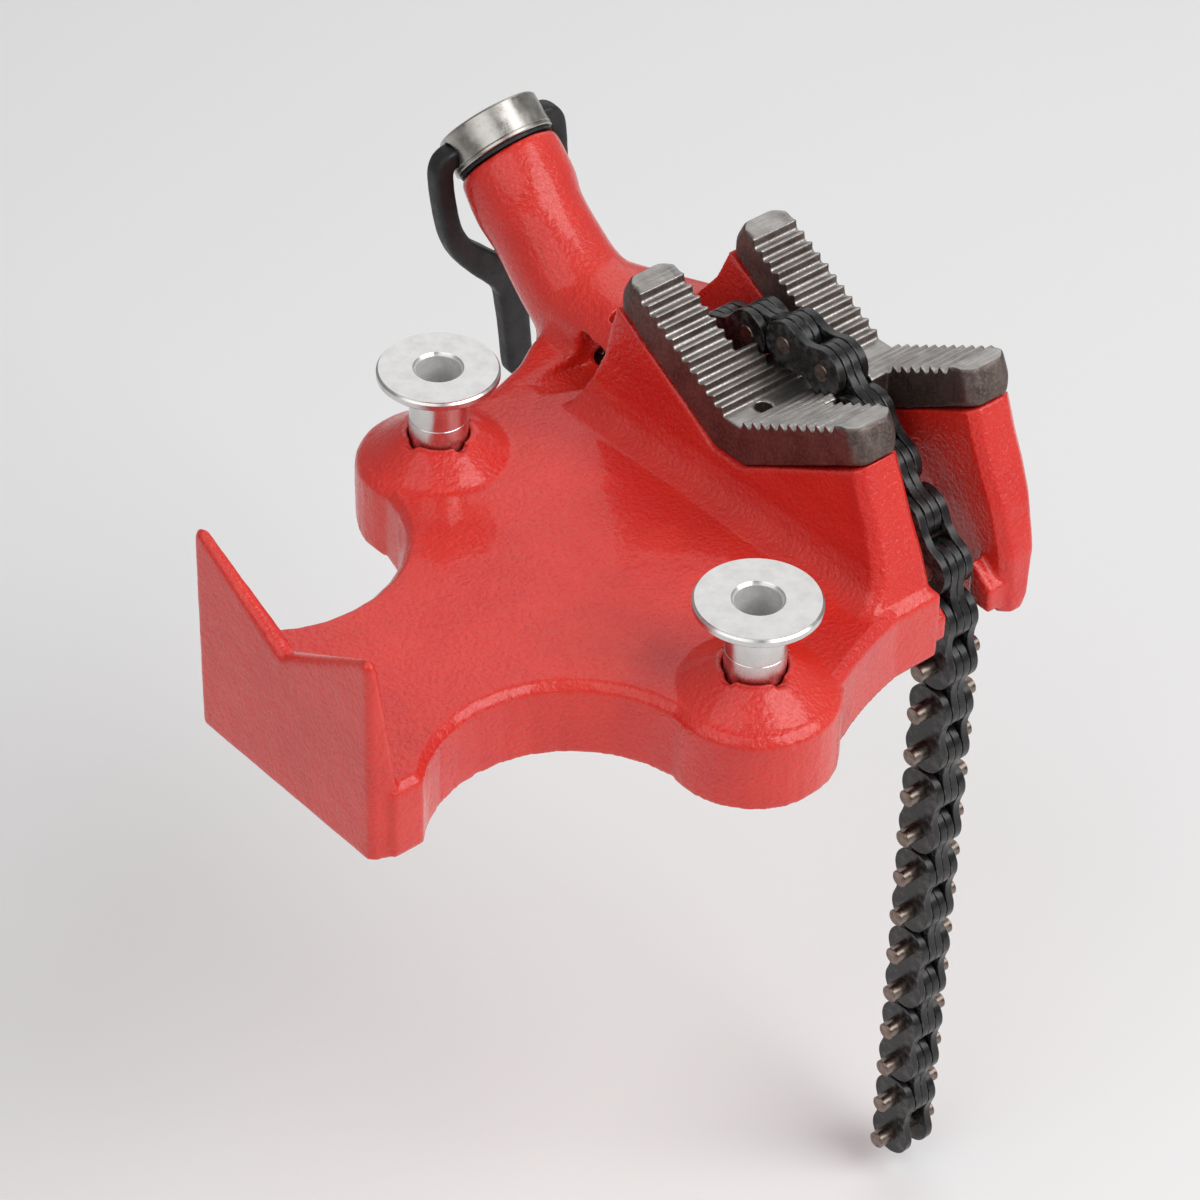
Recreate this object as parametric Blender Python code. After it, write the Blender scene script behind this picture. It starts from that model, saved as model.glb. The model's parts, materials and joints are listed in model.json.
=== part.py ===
"""Chain pipe vise: a bench-mounted vise with toothed V jaws, a leaf chain and a chain screw.

Metres, +Z up. +X runs along the clamped pipe from the pipe rest to the jaws, and +Y points to the
screw tower. The origin lies on the mounting plane, midway between the two mounting bolts.
"""

import math

import bmesh
import bpy
from mathutils import Euler, Matrix, Vector

# Clearances and cutting overruns
GAP = 0.0003
RUNNING_GAP = 0.0006
FUSE = 0.002
OVERRUN = 0.006
TINY = 0.000001

# Facets of round pieces
FINE_SIDES = 32
ROUND_SIDES = 24
PIN_SIDES = 12
ARC_STEP_DEG = 12.0
SMOOTH_DEG = 30.0
MITRE_LIMIT_SHARE = 0.5

# Base plate
PLATE_TOP = 0.040
PLATE_THICKNESS = 0.010
WALL = 0.010
EDGE_ROUND = 0.004
FOOT_HALF = 0.067
BENDER_RADIUS = 0.066
BENDER_BITE = 0.0019
BENDER_SHIFT = 0.0006
RIB_THICKNESS = 0.012

# Bosses and spools on the mounting bolts
BOLT_OFFSET = 0.1114
BOSS_RADIUS = 0.0405
BOSS_END_DEG = 34.5
CONE_FOOT_RADIUS = 0.0365
CONE_TOP_RADIUS = 0.0175
CONE_TOP_Z = 0.0525
CONE_FOOT_SINK = 0.0009
SPOOL_LEDGE_Z = 0.012
SPOOL_TOP_Z = 0.0887
SPOOL_RIM_Z = 0.0840
SPOOL_NECK_Z = 0.0750
SPOOL_RADIUS = 0.0293
SPOOL_NECK_RADIUS = 0.0142
SPOOL_HOLE_RADIUS = 0.0108
SPOOL_CHAMFER = 0.0013

# Pipe rest, the upright wing at the far end
REST_X = 0.1786
REST_HALF = 0.0625
REST_NOTCH_Z = 0.0771
REST_SLOPE_DEG = 31.0
REST_TOP_THICKNESS = 0.006
REST_FOOT_THICKNESS = 0.019
REST_ROUND = 0.0025

# Jaws
JAW_FRONT_X = 0.0851
JAW_THICKNESS = 0.0279
JAW_GAP = 0.0441
V_BOTTOM_Z = 0.0808
V_BOTTOM_HALF = 0.0062
TIP_Y = 0.0664
TIP_Z = 0.1170
TIP_FLAT = 0.0120
TIP_RISE = 0.0026
TOOTH_COUNT = 10
TOOTH_DEPTH = 0.0032
TOOTH_END_SHARE = 0.5
# One tooth: (along the pitch, over the depth)
TOOTH_SHARES = ((-0.12, 0), (0.12, 0), (0.44, 1), (0.56, 1))
JAW_END_Y = 0.0835
JAW_END_Z = 0.1015
JAW_SEAT_HALF = 0.010
JAW_SEAT_Z = 0.0615
JAW_END_ROUND = 0.005
BRIDGE_HALF = 0.029
LANE_HALF = 0.0112
LANE_ROOM = 0.0012

# Screws that hold the jaws from below
JAW_SCREW_INSET = 0.008
JAW_SCREW_RADIUS = 0.0040
JAW_SCREW_HEAD_RADIUS = 0.0065
JAW_SCREW_HEAD_HEIGHT = 0.008
JAW_SCREW_SEAT_Z = 0.038
JAW_SCREW_TOP_DROP = 0.007
JAW_SCREW_CLEARANCE = 0.0006
SCREW_BOSS_WALL = 0.005

# Jaw posts
POST_FOOT = 0.1165
POST_CORNER = 0.005
POST_TOP_SHARE = 1.08

# Lugs that catch the chain's long pins
LUG_REACH = 0.0084
LUG_NEAR_Y = 0.098
LUG_FAR_Y = 0.113
LUG_BOTTOM_Z = 0.004
LUG_TIP_Z = 0.017
LUG_ROOT_Z = 0.028

# Screw tower: its axis leaves the middle of the jaw gap and rises towards +Y
AXIS_DEG = 38.6
HUB_BASE_Y = 0.2254
HUB_BASE_Z = 0.0961
TOWER_RADIUS = 0.027
TOWER_LENGTH = 0.112
BORE_RADIUS = 0.0175
TOWER_SHIFT_DEG = 211.0
COLLAR_Y = 0.174
COLLAR_HEIGHT = 0.034
SHOULDER_Z = 0.064
CHAMBER_BEHIND_PIN = 0.0205
LIP_ROOM = 0.0185
BORE_BELOW_TOWER = 0.018

# Hub, the nut that draws the chain screw
HUB_RADIUS = 0.0273
HUB_HEIGHT = 0.019
HUB_CHAMFER = 0.0008
PILOT_LENGTH = 0.014
THREAD_CLEARANCE = 0.0004
WASHER_THICKNESS = 0.0016
WASHER_RADIUS = 0.0258
PIVOT_PIN_RADIUS = 0.0055
PIVOT_PIN_TIP = 0.0190
HUB_TURN_DEG = 7.4

# Chain screw
SCREW_RADIUS = 0.010
SCREW_TRAVEL = 0.020
CLEVIS_RADIUS = 0.0145
CLEVIS_SHOULDER = 0.004
CLEVIS_TAIL = 0.008
CLEVIS_PIN_DEPTH = 0.0564

# Handle
HANDLE_HALF = 0.0400
HANDLE_LENGTH = 0.149
HANDLE_THICKNESS = 0.0110
HANDLE_ROUND = 0.0022

# Chain: leaf chain with two outer and two inner plates on each pin
PITCH = 0.0261
LINK_RADIUS = 0.0124
LINK_WAIST = 0.0098
PLATE_GAUGE = 0.00475
CHAIN_PIN_RADIUS = 0.0045
PIN_CLEARANCE = 0.0003
FLUSH_PIN_PROUD = 0.0004
LONG_PIN_PROUD = 0.0095
# Rise of each link in degrees, from the clevis pin up the slot, over the crest and down
TUBE_LINKS = 3
PATH_RISE_DEG = (0.9, 76.5, 60.5, 46.0, 33.5, 15.6, -2.9, -39.6, -42.7, -41.7, -46.4, -76.0, -85.0)
HANGING_LINKS = 12
FIRST_LONG_PIN = 16
LINK_END_DEG = 110.0
LINK_END_STEPS = 8

# Web between the posts, which the chain passes over
WEB_THICKNESS = 0.009
WEB_ROOM = 0.0016
WEB_BELOW_JAW = 0.0035
WEB_FRONT_SLOPE_DEG = 36.0
WEB_LIP = 0.006

# Outline shares of the plate's sides, between the boss and the post: (along x, along y)
SIDE_SHARES = ((0.28, 0.38), (0.53, 0.64), (0.77, 0.84))
# Outline shares of the flare on the tower side: (x as a share of JAW_FRONT_X, y as a share of COLLAR_Y)
FLARE_SHARES = ((0.63, 0.787), (0.90, 0.832), (1.11, 0.897))
# Plan shares of the collar round the tower foot: (x over the post span, y over COLLAR_Y)
COLLAR_SHARES = (
    (-0.80, 0.65), (-0.82, 0.89), (-0.46, 0.966), (0.00, 1.00), (0.46, 0.966), (0.80, 0.89), (0.86, 0.65),
)
# Posts by height: (z over JAW_END_Z, -Y reach, +Y reach over POST_FOOT, depth over JAW_THICKNESS)
FRONT_POST_SHARES = (
    (0.000, 1.000, 0.860, 1.62),
    (0.305, 0.975, 0.865, 1.62),
    (0.400, 0.955, 0.860, 1.60),
    (0.425, 0.945, 0.855, 1.40),
    (0.470, 0.930, 0.845, 1.24),
    (0.540, 0.905, 0.820, 1.13),
    (0.680, 0.841, 0.775, 1.05),
    (1.000, 0.7165, 0.7165, 1.00),
)
REAR_POST_SHARES = (
    (0.000, 1.000, 0.960, 0.46),
    (0.070, 1.000, 0.955, 0.66),
    (0.305, 0.975, 0.945, 0.82),
    (0.540, 0.905, 0.930, 0.92),
    (0.660, 0.850, 0.895, 0.97),
    (0.810, 0.785, 0.790, 0.99),
    (1.000, 0.7165, 0.7165, 1.00),
)
# Tower sections: (distance over TOWER_LENGTH, radius over TOWER_RADIUS, sideways shift over TOWER_RADIUS)
TOWER_SHARES = (
    (0.00, 1.015, 0.000),
    (0.13, 1.045, 0.050),
    (0.22, 1.045, 0.080),
    (0.30, 0.980, 0.115),
    (0.38, 0.967, 0.120),
    (0.48, 0.980, 0.130),
    (0.58, 1.000, 0.137),
    (0.67, 1.037, 0.104),
    (0.75, 1.100, 0.043),
    (0.82, 1.150, 0.000),
    (1.00, 1.300, 0.000),
)
SHOULDER_SHARE = 0.68
COLLAR_RING_SHARE = 0.75
# Handle outline, one side: (x over HANDLE_HALF, z over HANDLE_LENGTH), from the crotch round to the tip
HANDLE_SHARES = (
    (0.320, -0.427), (0.55, -0.371), (0.71, -0.234), (0.735, -0.057), (0.735, 0.011), (0.83, 0.043),
    (0.95, 0.025), (1.00, -0.063), (0.955, -0.299), (0.86, -0.409), (0.38, -0.586), (0.22, -0.695),
    (0.19, -0.978), (0.10, -1.000),
)
CROTCH_SHARE = -0.447
# Pocket beside the tower: (x over JAW_THICKNESS, y pair over COLLAR_Y, z pair over PLATE_TOP)
WINDOW_SHARES = (
    (-0.62, 0.670, 0.720, 0.98, 1.10),
    (0.30, 0.595, 0.745, 0.84, 1.30),
    (1.07, 0.610, 0.735, 0.80, 1.38),
)
# How far the slot's top edge stands off the rising chain, over LIP_ROOM: (along y, along z)
LIP_SHARES = (0.80, 1.00)
TOP_SHARES = (0.85, 0.75)

# Finishes: (base colour, roughness, metallic)
FINISHES = {
    "red_enamel": ((0.70, 0.035, 0.025), 0.38, 0.0),
    "jaw_steel": ((0.42, 0.41, 0.40), 0.40, 1.0),
    "turned_steel": ((0.80, 0.80, 0.79), 0.22, 1.0),
    "brushed_steel": ((0.55, 0.54, 0.50), 0.35, 1.0),
    "black_forging": ((0.030, 0.031, 0.034), 0.55, 0.2),
    "black_oxide": ((0.035, 0.036, 0.040), 0.38, 0.8),
    "pin_steel": ((0.26, 0.23, 0.21), 0.40, 1.0),
}

# Sizes that follow
BENDER_X = BENDER_RADIUS + BOSS_RADIUS - BENDER_BITE
BENDER_Y = BOLT_OFFSET + BENDER_SHIFT
JAW_INNER_X = JAW_FRONT_X + JAW_THICKNESS
REAR_JAW_X = JAW_INNER_X + JAW_GAP
REAR_X = REAR_JAW_X + JAW_THICKNESS
CHAIN_X = JAW_INNER_X + JAW_GAP / 2
AXIS = math.radians(AXIS_DEG)
HUB_TURN = math.radians(HUB_TURN_DEG)
ALONG = Vector((0, math.cos(AXIS), math.sin(AXIS)))
ACROSS = Vector((0, -math.sin(AXIS), math.cos(AXIS)))
HUB_BASE = Vector((CHAIN_X, HUB_BASE_Y, HUB_BASE_Z))
LINK_ROOM = LINK_RADIUS + WEB_ROOM
INNER_HALF = PLATE_GAUGE - GAP
SIGHT = Vector((math.cos(math.radians(TOWER_SHIFT_DEG)), math.sin(math.radians(TOWER_SHIFT_DEG))))
LINK_RISES_DEG = (-AXIS_DEG,) * TUBE_LINKS + PATH_RISE_DEG + (-90.0,) * HANGING_LINKS


def clear_scene():
    for obj in list(bpy.data.objects):
        bpy.data.objects.remove(obj, do_unlink=True)


def finish(name):
    colour, roughness, metallic = FINISHES[name]
    made = bpy.data.materials.new(name)
    made.use_nodes = True
    shader = made.node_tree.nodes["Principled BSDF"]
    shader.inputs["Base Color"].default_value = (*colour, 1.0)
    shader.inputs["Roughness"].default_value = roughness
    shader.inputs["Metallic"].default_value = metallic
    made.diffuse_color = (*colour, 1.0)
    return made


def mesh_of(name, points, faces):
    mesh = bpy.data.meshes.new(name)
    form = bmesh.new()
    corners = [form.verts.new(point) for point in points]
    for face in faces:
        form.faces.new([corners[index] for index in face])
    bmesh.ops.recalc_face_normals(form, faces=form.faces)
    bmesh.ops.triangulate(form, faces=[face for face in form.faces if len(face.verts) > 3])
    form.to_mesh(mesh)
    form.free()
    return mesh


def place(name, mesh):
    obj = bpy.data.objects.new(name, mesh)
    bpy.context.scene.collection.objects.link(obj)
    return obj


def loft(rings):
    """A closed body through rings of equal length, with a flat cap at each end."""
    count = len(rings[0])
    points = [point for ring in rings for point in ring]
    faces = [list(range(count)), list(range(len(points) - count, len(points)))]
    for level in range(len(rings) - 1):
        for index in range(count):
            near = level * count + index
            beside = level * count + (index + 1) % count
            faces.append([near, beside, beside + count, near + count])
    return place("body", mesh_of("body", points, faces))


def prism_x(outline, low, high):
    """An outline of (y, z) points drawn out along X."""
    return loft([[(x, y, z) for y, z in outline] for x in (low, high)])


def prism_z(outline, low, high):
    """An outline of (x, y) points drawn out along Z."""
    return loft([[(x, y, z) for x, y in outline] for z in (low, high)])


def hull(points):
    form = bmesh.new()
    for point in points:
        form.verts.new(point)
    bmesh.ops.convex_hull(form, input=form.verts)
    loose = [vert for vert in form.verts if not vert.link_faces]
    bmesh.ops.delete(form, geom=loose, context="VERTS")
    bmesh.ops.recalc_face_normals(form, faces=form.faces)
    mesh = bpy.data.meshes.new("hull")
    form.to_mesh(mesh)
    form.free()
    return place("hull", mesh)


def turned_mesh(name, profile, sides):
    """A closed profile of (radius, z) points turned about the local Z axis."""
    points, rows = [], []
    for radius, z in profile:
        if radius < TINY:
            rows.append([len(points)] * sides)
            points.append((0, 0, z))
            continue
        rows.append(list(range(len(points), len(points) + sides)))
        for step in range(sides):
            angle = math.tau * step / sides
            points.append((radius * math.cos(angle), radius * math.sin(angle), z))
    faces = []
    for row, following in zip(rows, rows[1:] + rows[:1]):
        for step in range(sides):
            after = (step + 1) % sides
            face = [row[step], row[after], following[after], following[step]]
            face = list(dict.fromkeys(face))
            if len(face) > 2:
                faces.append(face)
    return mesh_of(name, points, faces)


def turned(profile, sides, location=(0, 0, 0), rotation=(0, 0, 0)):
    obj = place("turned", turned_mesh("turned", profile, sides))
    obj.location = location
    obj.rotation_euler = rotation
    return obj


def rod_x(radius, low, high, y, z, sides=PIN_SIDES):
    """A round bar along X, with flats square to Y and Z."""
    ring = []
    for step in range(sides):
        angle = math.tau * (step + 0.5) / sides
        ring.append((y + radius * math.cos(angle), z + radius * math.sin(angle)))
    return prism_x(ring, low, high)


def evaluated_mesh(obj):
    bpy.context.view_layer.update()
    graph = bpy.context.evaluated_depsgraph_get()
    return bpy.data.meshes.new_from_object(obj.evaluated_get(graph))


def combine(target, tools, operation):
    """Joins the tools to the target, or cuts them from it, and removes them."""
    for tool in tools:
        modifier = target.modifiers.new(operation, "BOOLEAN")
        modifier.operation = operation
        modifier.solver = "MANIFOLD"
        modifier.object = tool
    made = evaluated_mesh(target)
    target.modifiers.clear()
    target.data = made
    for tool in tools:
        bpy.data.objects.remove(tool, do_unlink=True)
    return target


def named(obj, name, colour):
    obj.name = name
    obj.data.name = name
    obj.data.materials.clear()
    obj.data.materials.append(colour)
    obj.data.shade_smooth()
    obj.data.set_sharp_from_angle(angle=math.radians(SMOOTH_DEG))
    return obj


def arc(centre, radius, start_deg, end_deg, steps=None):
    """Points round an arc of (x, y), from the start to the end angle, both included."""
    steps = steps or max(2, round(abs(end_deg - start_deg) / ARC_STEP_DEG))
    points = []
    for step in range(steps + 1):
        angle = math.radians(start_deg + (end_deg - start_deg) * step / steps)
        points.append((centre[0] + radius * math.cos(angle), centre[1] + radius * math.sin(angle)))
    return points


def inset(outline, distance):
    """The outline moved inwards by a distance, corner by corner."""
    area = sum(a[0] * b[1] - b[0] * a[1] for a, b in zip(outline, outline[1:] + outline[:1]))
    inward = math.copysign(1.0, area)
    moved = []
    for index, point in enumerate(outline):
        before = Vector(outline[index - 1])
        here = Vector(point)
        after = Vector(outline[(index + 1) % len(outline)])
        first = (here - before).normalized()
        second = (after - here).normalized()
        normal = Vector((-first.y - second.y, first.x + second.x)).normalized()
        stretch = max(MITRE_LIMIT_SHARE, normal.dot(Vector((-first.y, first.x))))
        moved.append(tuple(here + normal * (inward * distance / stretch)))
    return moved


def mirrored(points):
    return [(x, -y) for x, y in reversed(points)]


def at_tower(x, across, distance):
    """A point of the tower: sideways, above the axis, and down it from the hub's base."""
    return HUB_BASE + Vector((x, 0, 0)) + ACROSS * across - ALONG * distance


def tower_ring(share, reach, shift):
    ring = []
    for step in range(ROUND_SIDES):
        angle = math.tau * step / ROUND_SIDES
        spot = Vector((math.cos(angle), math.sin(angle))) * reach + SIGHT * shift
        distance = WASHER_THICKNESS + GAP + GAP + TOWER_LENGTH * share
        ring.append(at_tower(spot.x * TOWER_RADIUS, spot.y * TOWER_RADIUS, distance))
    return ring


def ring_at(share):
    """The tower's ring at any share of its length, read between the rows of the table."""
    for low, high in zip(TOWER_SHARES, TOWER_SHARES[1:]):
        if low[0] <= share <= high[0]:
            part = (share - low[0]) / (high[0] - low[0])
            reach, shift = (low[i] + (high[i] - low[i]) * part for i in (1, 2))
            return tower_ring(share, reach, shift)
    return tower_ring(*TOWER_SHARES[-1])


def chain_pins():
    """The (y, z) place of every chain pin, from the clevis pin to the free end."""
    start = HUB_BASE - ALONG * CLEVIS_PIN_DEPTH
    pins = [Vector((start.y, start.z))]
    for rise in LINK_RISES_DEG:
        angle = math.radians(rise)
        pins.append(pins[-1] + PITCH * Vector((-math.cos(angle), math.sin(angle))))
    return pins


PINS = chain_pins()
TURN_PIN = PINS[TUBE_LINKS]
BACK_PIN = PINS[TUBE_LINKS + 1]
RISING_PINS = PINS[TUBE_LINKS + 2 : TUBE_LINKS + 5]
LANE_PINS = PINS[TUBE_LINKS + 4 : TUBE_LINKS + 10]
LIP_PIN = PINS[TUBE_LINKS + 9]
TRAVEL = Vector((ALONG.y, ALONG.z)) * SCREW_TRAVEL


def plate_outline(end_x, flare_shares):
    """Plan of the base plate from the pipe rest to end_x, which lies under the front post."""
    distance = math.hypot(BENDER_X, BENDER_Y - BOLT_OFFSET)
    along = (distance**2 + BENDER_RADIUS**2 - BOSS_RADIUS**2) / (2 * distance)
    meet_deg = math.degrees(math.acos(along / BENDER_RADIUS))
    height = BENDER_RADIUS * math.sin(math.radians(meet_deg))
    boss_start_deg = 180 - math.degrees(math.asin(height / BOSS_RADIUS))
    foot_x = -REST_X + REST_FOOT_THICKNESS / 2
    side_deg = 180 - math.degrees(math.asin((BENDER_Y - FOOT_HALF) / BENDER_RADIUS))
    wall_deg = math.degrees(math.acos(max(-1, (foot_x + WALL + BENDER_X) / BENDER_RADIUS)))
    foot_deg = min(side_deg, wall_deg)
    bender = arc((-BENDER_X, -BENDER_Y), BENDER_RADIUS, foot_deg, meet_deg)
    boss = arc((0, -BOLT_OFFSET), BOSS_RADIUS, boss_start_deg, 360 - BOSS_END_DEG)
    boss_end = boss[-1]
    side = []
    for share_x, share_y in SIDE_SHARES:
        x = boss_end[0] + (JAW_FRONT_X - boss_end[0]) * share_x
        y = boss_end[1] + (-POST_FOOT - boss_end[1]) * share_y
        side.append((x, y))
    side.append((JAW_FRONT_X, -POST_FOOT))
    flare = [(JAW_FRONT_X * share_x, COLLAR_Y * share_y) for share_x, share_y in flare_shares]
    near = [(foot_x, -FOOT_HALF)] + bender + boss[1:]
    end = [(end_x, -POST_FOOT), (end_x, flare[-1][1])]
    return near + side + end + flare[::-1] + mirrored(near)


def base_plate():
    outline = plate_outline(JAW_INNER_X, FLARE_SHARES)
    levels = ((-OVERRUN, 0), (PLATE_TOP - EDGE_ROUND, 0), (PLATE_TOP, EDGE_ROUND))
    return loft([[(x, y, z) for x, y in inset(outline, step)] for z, step in levels])


def plate_hollow():
    outline = plate_outline(JAW_FRONT_X + WALL + POST_CORNER, FLARE_SHARES[:-1])
    return prism_z(inset(outline, WALL), -2 * OVERRUN, PLATE_TOP - PLATE_THICKNESS)


def rest_outline():
    """Face of the pipe rest as (y, z): a plate with a V notch in its top edge."""
    slope = math.tan(math.radians(REST_SLOPE_DEG))
    corner = REST_HALF - 2 * REST_ROUND
    half = [
        (REST_HALF, -OVERRUN),
        (REST_HALF, REST_NOTCH_Z + REST_HALF * slope - 3 * REST_ROUND),
        (REST_HALF - REST_ROUND / 2, REST_NOTCH_Z + REST_HALF * slope - 2 * REST_ROUND),
        (corner, REST_NOTCH_Z + corner * slope),
    ]
    left = [(-y, z) for y, z in reversed(half)]
    return half + [(0, REST_NOTCH_Z)] + left


def pipe_rest():
    outline = rest_outline()
    small = inset(outline, REST_ROUND)
    top = max(z for _, z in outline)

    def back(y, z, step):
        thick = REST_FOOT_THICKNESS + (REST_TOP_THICKNESS - REST_FOOT_THICKNESS) * z / top
        widened = y * (FOOT_HALF + (REST_HALF - FOOT_HALF) * z / top) / REST_HALF
        return (-REST_X + thick - step, widened, z)

    rings = [
        [(-REST_X, y, z) for y, z in small],
        [(-REST_X + REST_ROUND, y, z) for y, z in outline],
        [back(y, z, REST_ROUND) for y, z in outline],
        [back(y, z, 0) for y, z in small],
    ]
    return loft(rings)


def post(inner_x, direction, shares):
    """A jaw post as a stack of plan sections; its flat face lies at inner_x."""
    rows = list(shares) + [(POST_TOP_SHARE,) + tuple(shares[-1][1:])]
    rings = []
    for height, minus, plus, depth in rows:
        outer_x = inner_x + direction * JAW_THICKNESS * depth
        near, far = -POST_FOOT * minus, POST_FOOT * plus
        corner = direction * POST_CORNER
        ring = [
            (inner_x, far), (inner_x, near + POST_CORNER), (inner_x + corner, near),
            (outer_x - corner, near), (outer_x, near + POST_CORNER), (outer_x, far),
        ]
        z = JAW_END_Z * height if height else -OVERRUN
        rings.append([(x, y, z) for x, y in ring])
    return loft(rings)


def tower():
    return loft([tower_ring(*row) for row in TOWER_SHARES])


def collar():
    """The tower's foot, spread out between the plate and both posts."""
    half_span = JAW_GAP / 2 + JAW_THICKNESS
    points = []
    for share_x, share_y in COLLAR_SHARES:
        spot = (CHAIN_X + half_span * share_x, COLLAR_Y * share_y)
        points.append((*spot, -OVERRUN))
        points.append((spot[0], spot[1] - EDGE_ROUND / 2, COLLAR_HEIGHT))
    return hull(points + ring_at(COLLAR_RING_SHARE))


def shoulder():
    """Joins the tower's upper side to the two posts."""
    front_y = POST_FOOT * FRONT_POST_SHARES[-3][2] - POST_CORNER
    rear_y = POST_FOOT * REAR_POST_SHARES[3][2] - POST_CORNER
    front_x, rear_x = JAW_INNER_X - JAW_THICKNESS / 2, REAR_X - POST_CORNER
    points = []
    for x, y, top in ((front_x, front_y, SHOULDER_Z - 2 * POST_CORNER), (JAW_INNER_X, front_y, SHOULDER_Z),
                      (REAR_JAW_X, rear_y, SHOULDER_Z), (rear_x, rear_y, SHOULDER_Z - POST_CORNER)):
        points.append((x, y, top))
        points.append((x, y, PLATE_TOP / 2))
    return hull(points + ring_at(SHOULDER_SHARE))


def chain_slot():
    """The open way between the posts, and the chamber under the tower."""
    chamber_y = TURN_PIN.x + CHAMBER_BEHIND_PIN
    lip = BACK_PIN + TRAVEL + Vector(LIP_SHARES) * LIP_ROOM
    rear = RISING_PINS[0] + TRAVEL + Vector((LIP_ROOM, -POST_CORNER))
    upper = RISING_PINS[0] + TRAVEL + Vector(TOP_SHARES) * LIP_ROOM
    low, high = -OVERRUN, JAW_END_Z + OVERRUN + JAW_THICKNESS
    outline = [
        (-POST_FOOT - OVERRUN, low), (chamber_y, low), (chamber_y, TURN_PIN.y + LINK_RADIUS),
        (lip.x, lip.y), (rear.x, rear.y), (upper.x, upper.y), (upper.x - POST_CORNER, high),
        (-POST_FOOT - OVERRUN, high),
    ]
    return prism_x(outline, JAW_INNER_X, REAR_JAW_X)


def tower_bore():
    ends = (OVERRUN, -(TOWER_LENGTH + BORE_BELOW_TOWER))
    rotation = (AXIS - math.pi / 2, 0, 0)
    profile = [(0, ends[1]), (BORE_RADIUS, ends[1]), (BORE_RADIUS, ends[0]), (0, ends[0])]
    return turned(profile, ROUND_SIDES, HUB_BASE, rotation)


def side_window():
    """The pocket in the plate beside the tower, which opens into the chamber."""
    points = []
    for depth, near, far, low, high in WINDOW_SHARES:
        x = JAW_FRONT_X + JAW_THICKNESS * depth
        for y in (COLLAR_Y * near, COLLAR_Y * far):
            for z in (PLATE_TOP * low, PLATE_TOP * high):
                points.append((x, y, z))
    return hull(points)


def below_ground():
    reach = REST_X + REAR_X
    box = [(-reach, -reach), (reach, -reach), (reach, reach), (-reach, reach)]
    return prism_z(box, -reach, 0)


def boss(side):
    column = BOSS_RADIUS - WALL / 2
    profile = [
        (0, -OVERRUN), (column, -OVERRUN), (column, PLATE_TOP - PLATE_THICKNESS / 2),
        (CONE_FOOT_RADIUS, PLATE_TOP - CONE_FOOT_SINK),
        (CONE_TOP_RADIUS, CONE_TOP_Z), (0, CONE_TOP_Z),
    ]
    return turned(profile, FINE_SIDES, (0, side * BOLT_OFFSET, 0))


def boss_bores(side):
    spot = (0, side * BOLT_OFFSET, 0)
    seat = SPOOL_NECK_RADIUS + RUNNING_GAP
    low, top, bolt = -2 * OVERRUN, CONE_TOP_Z + OVERRUN, SPOOL_HOLE_RADIUS
    wide = [(0, SPOOL_LEDGE_Z), (seat, SPOOL_LEDGE_Z), (seat, top), (0, top)]
    narrow = [(0, low), (bolt, low), (bolt, SPOOL_LEDGE_Z + OVERRUN), (0, SPOOL_LEDGE_Z + OVERRUN)]
    return [turned(wide, ROUND_SIDES, spot), turned(narrow, ROUND_SIDES, spot)]


def rib():
    half = BOLT_OFFSET - BOSS_RADIUS / 2
    outline = [(-RIB_THICKNESS / 2, -half), (RIB_THICKNESS / 2, -half),
               (RIB_THICKNESS / 2, half), (-RIB_THICKNESS / 2, half)]
    return prism_z(outline, -OVERRUN, PLATE_TOP - PLATE_THICKNESS / 2)


def line_meet(point, direction, other, other_direction):
    """Where two lines of the (y, z) plane cross."""
    turn = direction.x * other_direction.y - direction.y * other_direction.x
    offset = other - point
    return point + direction * ((offset.x * other_direction.y - offset.y * other_direction.x) / turn)


def web():
    """The bent sheet that joins the posts below the jaw and the chain, open below."""
    slope = math.radians(WEB_FRONT_SLOPE_DEG)
    front_way = Vector((math.cos(slope), math.sin(slope)))
    front_normal = Vector((front_way.y, -front_way.x))
    front_point = LIP_PIN + front_normal * LINK_ROOM
    rear_way = (RISING_PINS[2] - RISING_PINS[0]).normalized()
    rear_normal = Vector((-rear_way.y, rear_way.x))
    rear_point = RISING_PINS[0] + rear_normal * LINK_ROOM
    level, upright = Vector((1, 0)), Vector((0, 1))
    crest = Vector((0, JAW_SEAT_Z - WEB_BELOW_JAW))
    foot = Vector((RISING_PINS[0].x - LINK_ROOM, -OVERRUN))
    outer = [
        front_point - front_way * (WEB_LIP - LINK_RADIUS),
        line_meet(crest, level, front_point, front_way),
        line_meet(crest, level, rear_point, rear_way),
        line_meet(foot, upright, rear_point, rear_way),
        foot,
    ]
    under = crest - upright * WEB_THICKNESS
    inner_foot = foot - level * WEB_THICKNESS
    front_point += front_normal * WEB_THICKNESS
    rear_point += rear_normal * WEB_THICKNESS
    inner = [
        inner_foot,
        line_meet(inner_foot, upright, rear_point, rear_way),
        line_meet(under, level, rear_point, rear_way),
        line_meet(under, level, front_point, front_way),
        outer[0] + front_normal * WEB_THICKNESS,
    ]
    outline = [(point.x, point.y) for point in outer + inner]
    return prism_x(outline, JAW_INNER_X - FUSE, REAR_JAW_X + FUSE)


def lugs():
    outline = [
        (-LUG_FAR_Y, LUG_BOTTOM_Z), (-LUG_NEAR_Y, LUG_BOTTOM_Z), (-LUG_NEAR_Y, LUG_ROOT_Z),
        (-(LUG_NEAR_Y + LUG_FAR_Y) / 2, (LUG_ROOT_Z + LUG_TIP_Z) / 2), (-LUG_FAR_Y, LUG_TIP_Z),
    ]
    return [
        prism_x(outline, JAW_INNER_X - FUSE, JAW_INNER_X + LUG_REACH),
        prism_x(outline, REAR_JAW_X - LUG_REACH, REAR_JAW_X + FUSE),
    ]


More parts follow.
